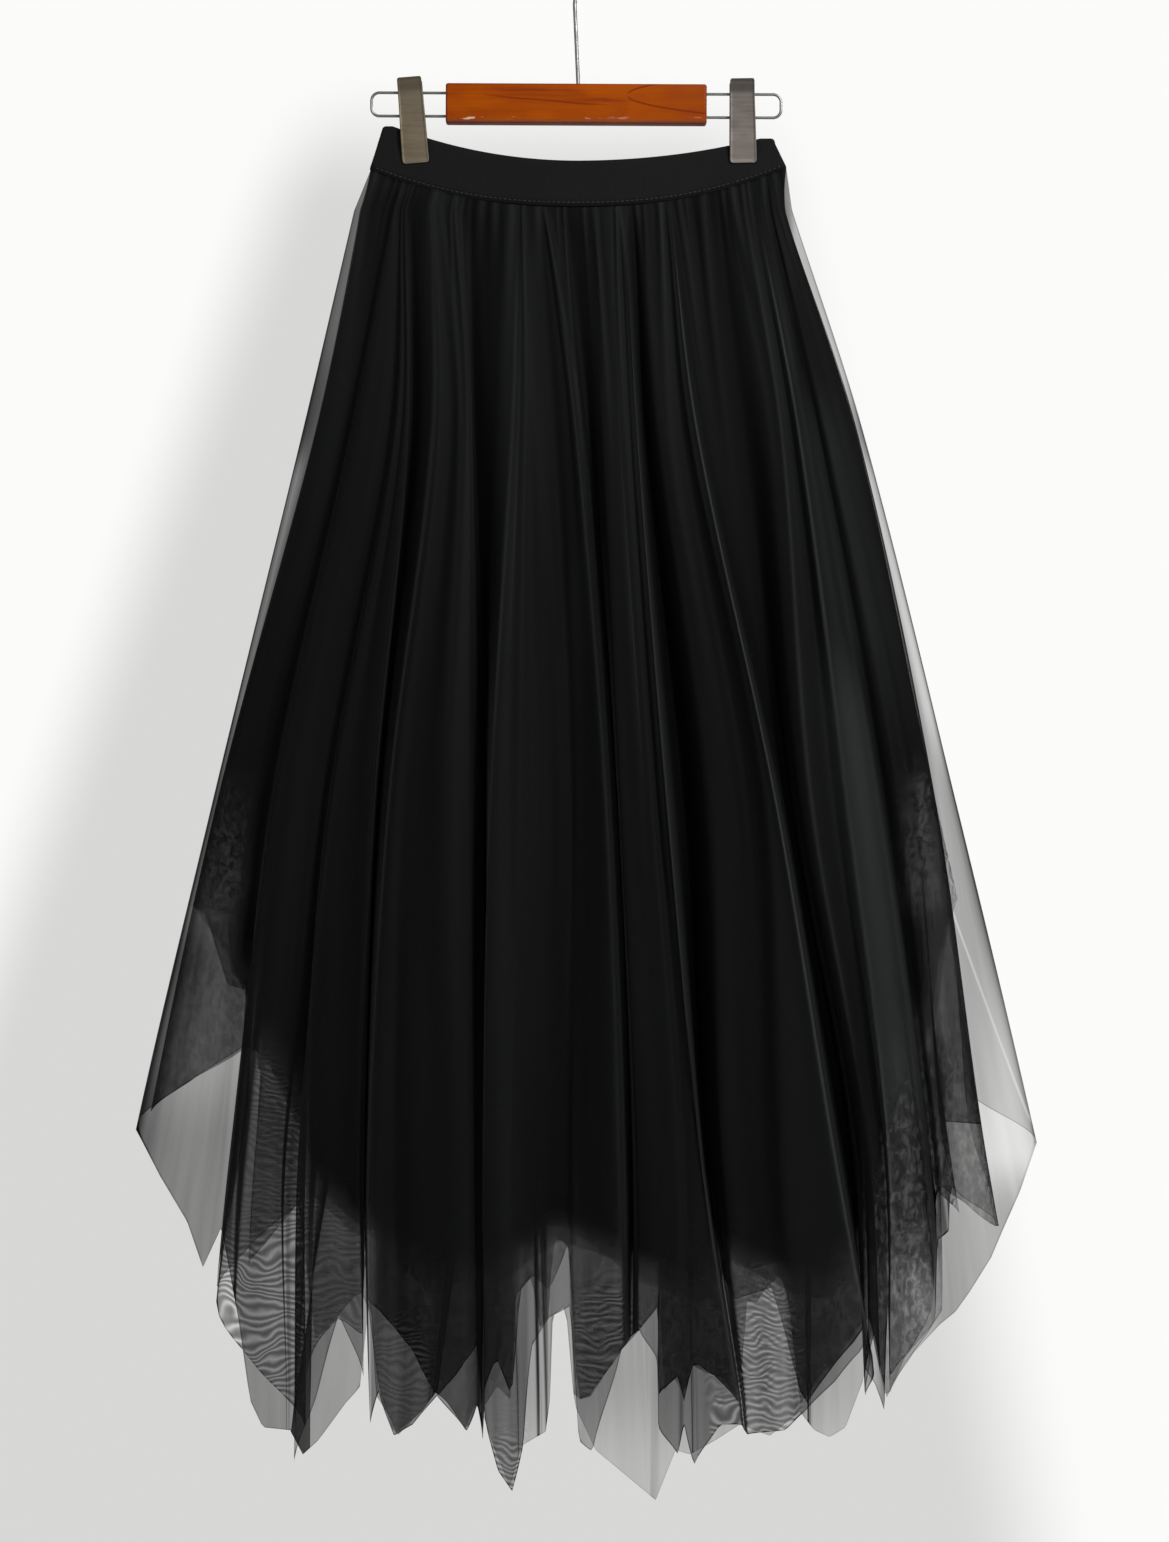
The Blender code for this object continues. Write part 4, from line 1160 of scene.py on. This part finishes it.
def makeSheet(layer, side, material):
    pieceName, slot, nodeName = sheetNames[layer]
    points, uvs, attributes = makeClothGrid(layer, side)
    faces = gridFaces(*points.shape[:2], side == "back")
    name = pieceName + side.capitalize()
    item = placeMesh(name, points.reshape(-1, 3), faces, material, uvs.reshape(-1, 2))
    for key, values in attributes.items():
        floatAttribute(item, key, values)
    declare(item, slot, f"{nodeName}_{side}")


# How far the band's cloth puckers over each gather, at x along the band
def puckersAt(x, gathers):
    return sum(depth / gatherSettings["deepest"] * ridgeAcross(x, centre, width)
               for centre, depth, width, _, _ in gathers)


def bandWave(x, phase):
    return bandSettings["waveDepth"] * np.sin(x * bandSettings["waveAcross"] + phase)


def makeBand(side, material):
    settings = bandSettings
    t = np.linspace(-1.0, 1.0, 241)
    s = 0.55 * np.sin(t * math.pi / 2) + 0.45 * t
    radius = settings["wall"] / 2
    faceSteps, turn = np.linspace(0.0, 1.0, 12), np.linspace(0.0, math.pi, 7)[1:-1]
    # the section goes down the outer face, round the seam edge, up inside and over the top
    around = [(step, 0.0, radius) for step in faceSteps]
    around += [(1.0, -radius * math.sin(a), radius * math.cos(a)) for a in turn]
    around += [(1.0 - step, 0.0, -radius) for step in faceSteps]
    around += [(0.0, radius * math.sin(a), -radius * math.cos(a)) for a in turn]
    topHalf, seamHalf = bandEnd(s, "topHalf"), bandEnd(s, "seamHalf")
    share = np.abs(s)
    corner = np.clip((share - 1.0 + settings["cornerShare"]) / settings["cornerShare"], 0.0, 1.0)
    rising = np.minimum(share, bandEnd(s, "levelShare")) ** settings["curveTop"]
    top = settings["centreTop"] + bandEnd(s, "topRise") * rising
    top = top - settings["corner"] * (1.0 - np.sqrt(1.0 - corner * corner)) - radius
    seam = bandSeam(s * seamHalf) + radius
    towardsSeam = np.clip((share - settings["thinFrom"]) / settings["thinReach"], 0.0, 1.0)
    thin = np.sqrt(np.clip(1.0 - towardsSeam ** 2, settings["thinnest"], 1.0))
    gathers = makeGathers(side)
    points = []
    for step, rise, out in around:
        x = s * blend(topHalf, seamHalf, step)
        z = blend(top, seam, step) + rise
        y = bandInnerFace(x) + radius + out * thin
        if out > 0:
            pucker = settings["puckerDepth"] * np.exp(-(z - seam) / settings["puckerReach"])
            y = y + pucker * puckersAt(x, gathers) * thin + bandWave(x, step * 2.0)
        points.append(np.stack([x, -y if side == "front" else y, z], axis=-1))
    points = np.array(points).transpose(1, 0, 2)
    columns, ring = points.shape[:2]
    name = f"waistBand{side.capitalize()}"
    item = placeMesh(name, points.reshape(-1, 3), tubeFaces(columns, ring), material)
    seamward = [step - rise / radius for step, rise, _ in around]
    floatAttribute(item, "seamward", np.tile(seamward, columns))
    turnOutwards(item)
    declare(item, "waistband", f"waistband_{side}")
    return item


# A line of stitches along a path, made by Geometry Nodes: each is a small bead of thread
# drawn out along the path.
stitchSettings = {
    "Spacing": 0.0034,
    "Stitch Length": 0.0024,
    "Thread Radius": 0.00026,
}
stitchesAboveSeam = 0.0032
stitchReach = 0.965


def makeStitchTree(material):
    tree = bpy.data.node_groups.new("stitchLine", "GeometryNodeTree")
    tree.interface.new_socket("Geometry", in_out="INPUT", socket_type="NodeSocketGeometry")
    for name, value in stitchSettings.items():
        socket = tree.interface.new_socket(name, in_out="INPUT", socket_type="NodeSocketFloat")
        socket.default_value = value
    tree.interface.new_socket("Geometry", in_out="OUTPUT", socket_type="NodeSocketGeometry")
    work = NodeWork(tree)
    given = tree.nodes.new("NodeGroupInput").outputs
    path = work.add("GeometryNodeResampleCurve", {
        "Curve": given["Geometry"], "Length": given["Spacing"]}, "Curve", mode="LENGTH")
    bead = work.add("GeometryNodeMeshUVSphere", {"Segments": 8, "Rings": 5, "Radius": 1.0}, "Mesh")
    halfLength = work.times(given["Stitch Length"], 0.5)
    drawn = work.join(X=given["Thread Radius"], Y=given["Thread Radius"], Z=halfLength)
    stitch = work.add("GeometryNodeTransform", {"Geometry": bead, "Scale": drawn}, "Geometry")
    tangent = work.add("GeometryNodeInputTangent", out="Tangent")
    turned = work.add("FunctionNodeAlignRotationToVector", {"Vector": tangent}, "Rotation", axis="Z")
    placed = work.add("GeometryNodeInstanceOnPoints", {
        "Points": path, "Instance": stitch, "Rotation": turned}, "Instances")
    real = work.add("GeometryNodeRealizeInstances", {"Geometry": placed}, "Geometry")
    smooth = work.add("GeometryNodeSetShadeSmooth", {"Geometry": real}, "Geometry")
    coloured = work.add("GeometryNodeSetMaterial", {"Geometry": smooth, "Material": material}, "Geometry")
    work.feed(tree.nodes.new("NodeGroupOutput").inputs["Geometry"], coloured)
    return tree


def stitchAlong(name, path, tree, material):
    curve = bpy.data.curves.new(name + "Path", "CURVE")
    curve.dimensions = "3D"
    spline = curve.splines.new("POLY")
    spline.points.add(len(path) - 1)
    for target, point in zip(spline.points, path):
        target.co = (*point, 1.0)
    source = placeObject(name + "Path", curve)
    modifier = source.modifiers.new("stitches", "NODES")
    modifier.node_group = tree
    for socket in tree.interface.items_tree:
        if socket.in_out == "INPUT" and socket.name in stitchSettings:
            modifier[socket.identifier] = stitchSettings[socket.name]
    bpy.context.view_layer.update()
    evaluated = source.evaluated_get(bpy.context.evaluated_depsgraph_get())
    mesh = bpy.data.meshes.new_from_object(evaluated)
    mesh.name = name
    bpy.data.objects.remove(source)
    mesh.materials.clear()
    mesh.materials.append(material)
    return placeObject(name, mesh)


def seamPath(side):
    s = np.linspace(-stitchReach, stitchReach, 160)
    x = s * bandEnd(s, "seamHalf")
    y = bandInnerFace(x) + bandSettings["wall"] + bandWave(x, 1.7)
    z = bandSeam(x) + stitchesAboveSeam
    return np.stack([x, -y if side == "front" else y, z], axis=-1)


threadMaterial = makeThread(threadSettings)
stitchTree = makeStitchTree(threadMaterial)
bandMaterial = makeBandCloth(bandClothSettings)
sheetMaterials = {
    "outer": makeNet("blackNet", netSettings, 0.0),
    "inner": makeNet("blackNetInner", netSettings, netSettings["crumpleStrength"]),
    "lining": makeLining(liningSettings),
}
for side in ("front", "back"):
    bandPiece = makeBand(side, bandMaterial)
    for layer, material in sheetMaterials.items():
        makeSheet(layer, side, material)
    stitches = stitchAlong("seamStitches" + side.capitalize(), seamPath(side), stitchTree, threadMaterial)
    declare(stitches, "waistband")
print("skirt made")


# Hanger, in metres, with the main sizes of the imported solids

wireSettings = {
    "radius": 0.0010,
    "loopEndX": 0.1433,
    "corner": 0.0055,
    "upperDrop": 0.0061,
    "lowerDrop": 0.0224,
    "seat": 0.0125,
    "hookRadius": 0.0014,
    "hookInner": 0.0190,
    "footX": 0.0009,
    "shaftX": -0.0016,
    "shaftTop": -0.0560,
    "startAngle": math.radians(-50),
    "endAngle": math.radians(205),
    "bendReach": 0.0090,
    "roundEnd": 0.8,
}

clipSettings = {
    # x and z of the middle of each plate at its top and at its jaw
    "places": {
        "left": ((-0.1174, -0.1079), (-0.1127, -0.1676)),
        "right": ((0.1154, -0.1089), (0.1162, -0.1674)),
    },
    # share of the plate's length, and how far its inner face stands off the middle plane
    "bow": ((0.00, 0.0072), (0.03, 0.0064), (0.17, 0.0036), (0.34, 0.0038), (0.52, 0.0052),
            (0.72, 0.0056), (0.88, 0.0044), (0.97, 0.0037), (1.00, 0.0035)),
    "topWidth": 0.0170,
    "jawWidth": 0.0188,
    "topCorner": 0.0016,
    "jawCorner": 0.0026,
    "plate": 0.0010,
    "rimWidth": 0.0012,
    "rimHeight": 0.00045,
    # how high the rim stands at these ways in from the plate's ends
    "topRim": ((0.0, 0.0001, 0.0005, 0.0008), (0.35, 0.8, 0.8, 0.0)),
    "jawRim": ((0.0, 0.0001, 0.0009, 0.0013), (0.35, 1.0, 1.0, 0.0)),
    "barrelRadius": 0.0022,
    "barrelLength": 0.0130,
    "springRadius": 0.0027,
    "springWire": 0.00042,
    "springTurns": 7,
    "springShare": 0.82,
}
depthWay = np.array((0.0, 1.0, 0.0))


def unitAlong(path):
    tangents = np.gradient(path, axis=0)
    return tangents / np.linalg.norm(tangents, axis=1)[:, None]


# A closed tube, with each ring given as its centre and two ways across it
def placeTube(name, rings, sides, material):
    points = []
    for centre, first, second in rings:
        for angle in np.linspace(0.0, 2 * math.pi, sides, endpoint=False):
            points.append(centre + math.cos(angle) * first + math.sin(angle) * second)
    item = placeMesh(name, points, tubeFaces(len(rings), sides), material)
    turnOutwards(item)
    return item


# A round rod along a path that lies in one upright plane, with rounded ends
def makeRod(name, path, radius, material):
    path = np.array(path, dtype=float)
    tangents = unitAlong(path)
    turns = [math.radians(angle) for angle in (75, 45, 18)]
    reach = radius * wireSettings["roundEnd"]
    spine = [(path[0] - tangents[0] * reach * math.sin(a), tangents[0], radius * math.cos(a))
             for a in turns]
    spine += [(point, tangent, radius) for point, tangent in zip(path, tangents)]
    spine += [(path[-1] + tangents[-1] * reach * math.sin(a), tangents[-1], radius * math.cos(a))
              for a in turns[::-1]]
    rings = [(centre, size * depthWay, size * np.cross(tangent, depthWay))
             for centre, tangent, size in spine]
    return placeTube(name, rings, 16, material)


def arc(centreX, centreZ, radius, start, end, steps):
    angles = np.linspace(start, end, steps + 1)
    return [(centreX + radius * math.cos(a), 0.0, centreZ + radius * math.sin(a)) for a in angles]


def straight(first, last, steps):
    return [tuple(blend(np.array(first), np.array(last), t)) for t in np.linspace(0.0, 1.0, steps + 1)]


# From the bar's own place, with its top at zero, to where it hangs
def barPlace():
    move = Matrix.Translation((barSettings["middleX"], 0.0, barSettings["top"]))
    return move @ Matrix.Rotation(barSettings["tilt"], 4, "Y")


def makeBar(wood):
    s = barSettings
    shape = bmesh.new()
    bmesh.ops.create_cube(shape, size=1.0)
    bmesh.ops.scale(shape, vec=(s["length"], s["depth"], s["height"]), verts=shape.verts)
    bmesh.ops.translate(shape, vec=(0.0, 0.0, -s["height"] / 2), verts=shape.verts)
    bmesh.ops.bevel(shape, geom=shape.edges[:], offset=s["edge"], segments=5, profile=0.5, affect="EDGES")
    shape.transform(barPlace())
    mesh = bpy.data.meshes.new("woodenBar")
    shape.to_mesh(mesh)
    shape.free()
    mesh.shade_smooth()
    mesh.set_sharp_from_angle(angle=math.radians(50))
    mesh.materials.append(wood)
    declare(placeObject("woodenBar", mesh), "wood", "hanger_bar")


def makeLoop(side, sign, steel):
    w = wireSettings
    inside, turnX = barSettings["length"] / 2 - w["seat"], w["loopEndX"] - w["corner"]
    upper = arc(turnX, -w["upperDrop"] - w["corner"], w["corner"], math.pi / 2, 0.0, 12)
    lower = arc(turnX, -w["lowerDrop"] + w["corner"], w["corner"], 0.0, -math.pi / 2, 12)
    path = straight((inside, 0.0, -w["upperDrop"]), upper[0], 8)[:-1] + upper + lower
    path += straight(lower[-1], (inside, 0.0, -w["lowerDrop"]), 8)[1:]
    path = [tuple(barPlace() @ Vector((sign * x, y, z))) for x, y, z in path]
    rod = makeRod(f"wireLoop{side.capitalize()}", path, w["radius"], steel)
    declare(rod, "wire", f"hanger_wire_{side}")


# A shaft that leans a little, a bend into the round, and the round itself
def makeHook(steel):
    w, top = wireSettings, barSettings["top"]
    radius = w["hookInner"] + w["hookRadius"]
    start = w["startAngle"]
    onCircle = np.array((radius * math.cos(start), -w["hookInner"] + radius * math.sin(start)))
    arriving = np.array((-math.sin(start), math.cos(start)))
    shaftTop = np.array((w["shaftX"], w["shaftTop"]))
    path = straight((w["footX"], 0.0, top - w["seat"]), (w["footX"], 0.0, top - w["hookRadius"]), 3)
    path += straight(path[-1], (w["shaftX"], 0.0, w["shaftTop"]), 10)[1:]
    for t in np.linspace(0.0, 1.0, 19)[1:-1]:
        point = ((1 - t) ** 3 * shaftTop + 3 * t * (1 - t) ** 2 * (shaftTop + (0.0, w["bendReach"]))
                 + 3 * t * t * (1 - t) * (onCircle - w["bendReach"] * arriving) + t ** 3 * onCircle)
        path.append((point[0], 0.0, point[1]))
    path += arc(0.0, -w["hookInner"], radius, start, w["endAngle"], 60)
    declare(makeRod("hangerHook", path, w["hookRadius"], steel), "wire", "hanger_hook")


def upperRodZ(x):
    s = barSettings
    drop = wireSettings["upperDrop"] * math.cos(s["tilt"])
    return s["top"] - drop - (x - s["middleX"]) * math.tan(s["tilt"])


def plateBow(share):
    shares, outs = zip(*clipSettings["bow"])
    last = len(shares) - 1
    k = min(max(int(np.searchsorted(shares, share)) - 1, 0), last - 1)
    t = (share - shares[k]) / (shares[k + 1] - shares[k])
    near = [np.array(outs[min(max(k + step, 0), last)]) for step in (-1, 0, 1, 2)]
    return float(curveAcross(near, t, 0.0))


# A pressed plate: bowed along its length, with a low raised rim round its outer face
def makeClipPlate(name, top, jaw, sign, material):
    c = clipSettings
    top, jaw = np.array(top), np.array(jaw)
    length = float(np.linalg.norm(jaw - top))
    along = (jaw - top) / length
    sideways = np.array((-along[1], along[0]))
    rim = c["rimWidth"] / (c["topWidth"] / 2)
    rimSteps = [1 - rim * share for share in (1.0, 0.72, 0.30, 0.08, 0.0)]
    halfSteps = [0.0, 0.25, 0.5, 0.70, 1 - rim - 0.05] + rimSteps
    acrossSteps = [-step for step in halfSteps[:0:-1]] + halfSteps
    shares = np.unique(np.concatenate((np.linspace(0.0, 1.0, 61), (0.003, 0.008, 0.985, 0.992, 0.997))))
    outer, inner = [], []
    for share in shares:
        end = "top" if share < 0.5 else "jaw"
        distance = share * length
        fromEnd = min(distance, length - distance)
        roundness = c[end + "Corner"]
        cut = max(0.0, roundness - fromEnd)
        narrow = roundness - math.sqrt(max(0.0, roundness ** 2 - cut ** 2))
        half = blend(c["topWidth"], c["jawWidth"], share) / 2 - narrow
        out = plateBow(share)
        endRim = np.interp(fromEnd, *c[end + "Rim"])
        for step in acrossSteps:
            sideRim = np.interp(abs(step), rimSteps, (0, 1, 1, 0.8, 0.2))
            raised = c["rimHeight"] * max(float(sideRim), float(endRim))
            x, z = top + along * distance + sideways * step * half
            outer.append((x, sign * (out + c["plate"] - c["rimHeight"] + raised), z))
            inner.append((x, sign * out, z))
    rows, columns = len(shares), len(acrossSteps)
    offset = rows * columns
    faces = gridFaces(rows, columns)
    faces += [tuple(i + offset for i in face[::-1]) for face in faces]
    # a wall joins the two faces round their border
    grid = np.arange(offset).reshape(rows, columns)
    border = np.concatenate((grid[0, :-1], grid[:-1, -1], grid[-1, :0:-1], grid[:0:-1, 0])).tolist()
    for here, beyond in zip(border, border[1:] + border[:1]):
        faces.append((here, beyond, beyond + offset, here + offset))
    item = placeMesh(name, outer + inner, faces, material)
    turnOutwards(item)
    item.data.set_sharp_from_angle(angle=math.radians(55))
    return item


# The sleeve on the loop's upper wire, with its coiled spring
def makeBarrel(side, top, jaw, material):
    c = clipSettings
    x = top[0] + (jaw[0] - top[0]) * (upperRodZ(top[0]) - top[1]) / (jaw[1] - top[1])
    centre = np.array((x, 0.0, upperRodZ(x)))
    way = np.array((math.cos(barSettings["tilt"]), 0.0, -math.sin(barSettings["tilt"])))
    half = c["barrelLength"] / 2
    sleevePath = straight(centre - way * half, centre + way * half, 4)
    sleeve = makeRod(f"clipSleeve{side.capitalize()}", sleevePath, c["barrelRadius"], material)
    upwards = np.cross(way, depthWay)
    shares = np.linspace(0.0, 1.0, c["springTurns"] * 16 + 1)
    outwards = [math.cos(angle) * depthWay + math.sin(angle) * upwards
                for angle in 2 * math.pi * c["springTurns"] * shares]
    reach = half * c["springShare"]
    path = np.array([centre + way * blend(-reach, reach, share) + out * c["springRadius"]
                     for share, out in zip(shares, outwards)])
    rings = [(point, c["springWire"] * out, c["springWire"] * np.cross(tangent, out))
             for point, out, tangent in zip(path, outwards, unitAlong(path))]
    spring = placeTube(f"clipSpring{side.capitalize()}", rings, 8, material)
    declare(sleeve, "clip_steel", f"clip_{side}_barrel")
    declare(spring, "clip_steel")


steels = {name: makeSteel(name, settings) for name, settings in steelSettings.items()}
# the left clip gets the darker copy as painted shade
clipSteels = {"left": steels["satinNickelWarmShaded"], "right": steels["satinNickel"]}
makeBar(makeWood(woodSettings, barSettings))
for side, sign in (("left", -1), ("right", 1)):
    makeLoop(side, sign, steels["drawnSteel"])
makeHook(steels["drawnSteel"])
for side, (top, jaw) in clipSettings["places"].items():
    for face, sign in (("front", -1), ("back", 1)):
        name = f"clipPlate{side.capitalize()}{face.capitalize()}"
        plate = makeClipPlate(name, top, jaw, sign, clipSteels[side])
        declare(plate, "clip_steel", f"clip_{side}_{face}_plate")
    makeBarrel(side, top, jaw, clipSteels[side])
print("hanger made")
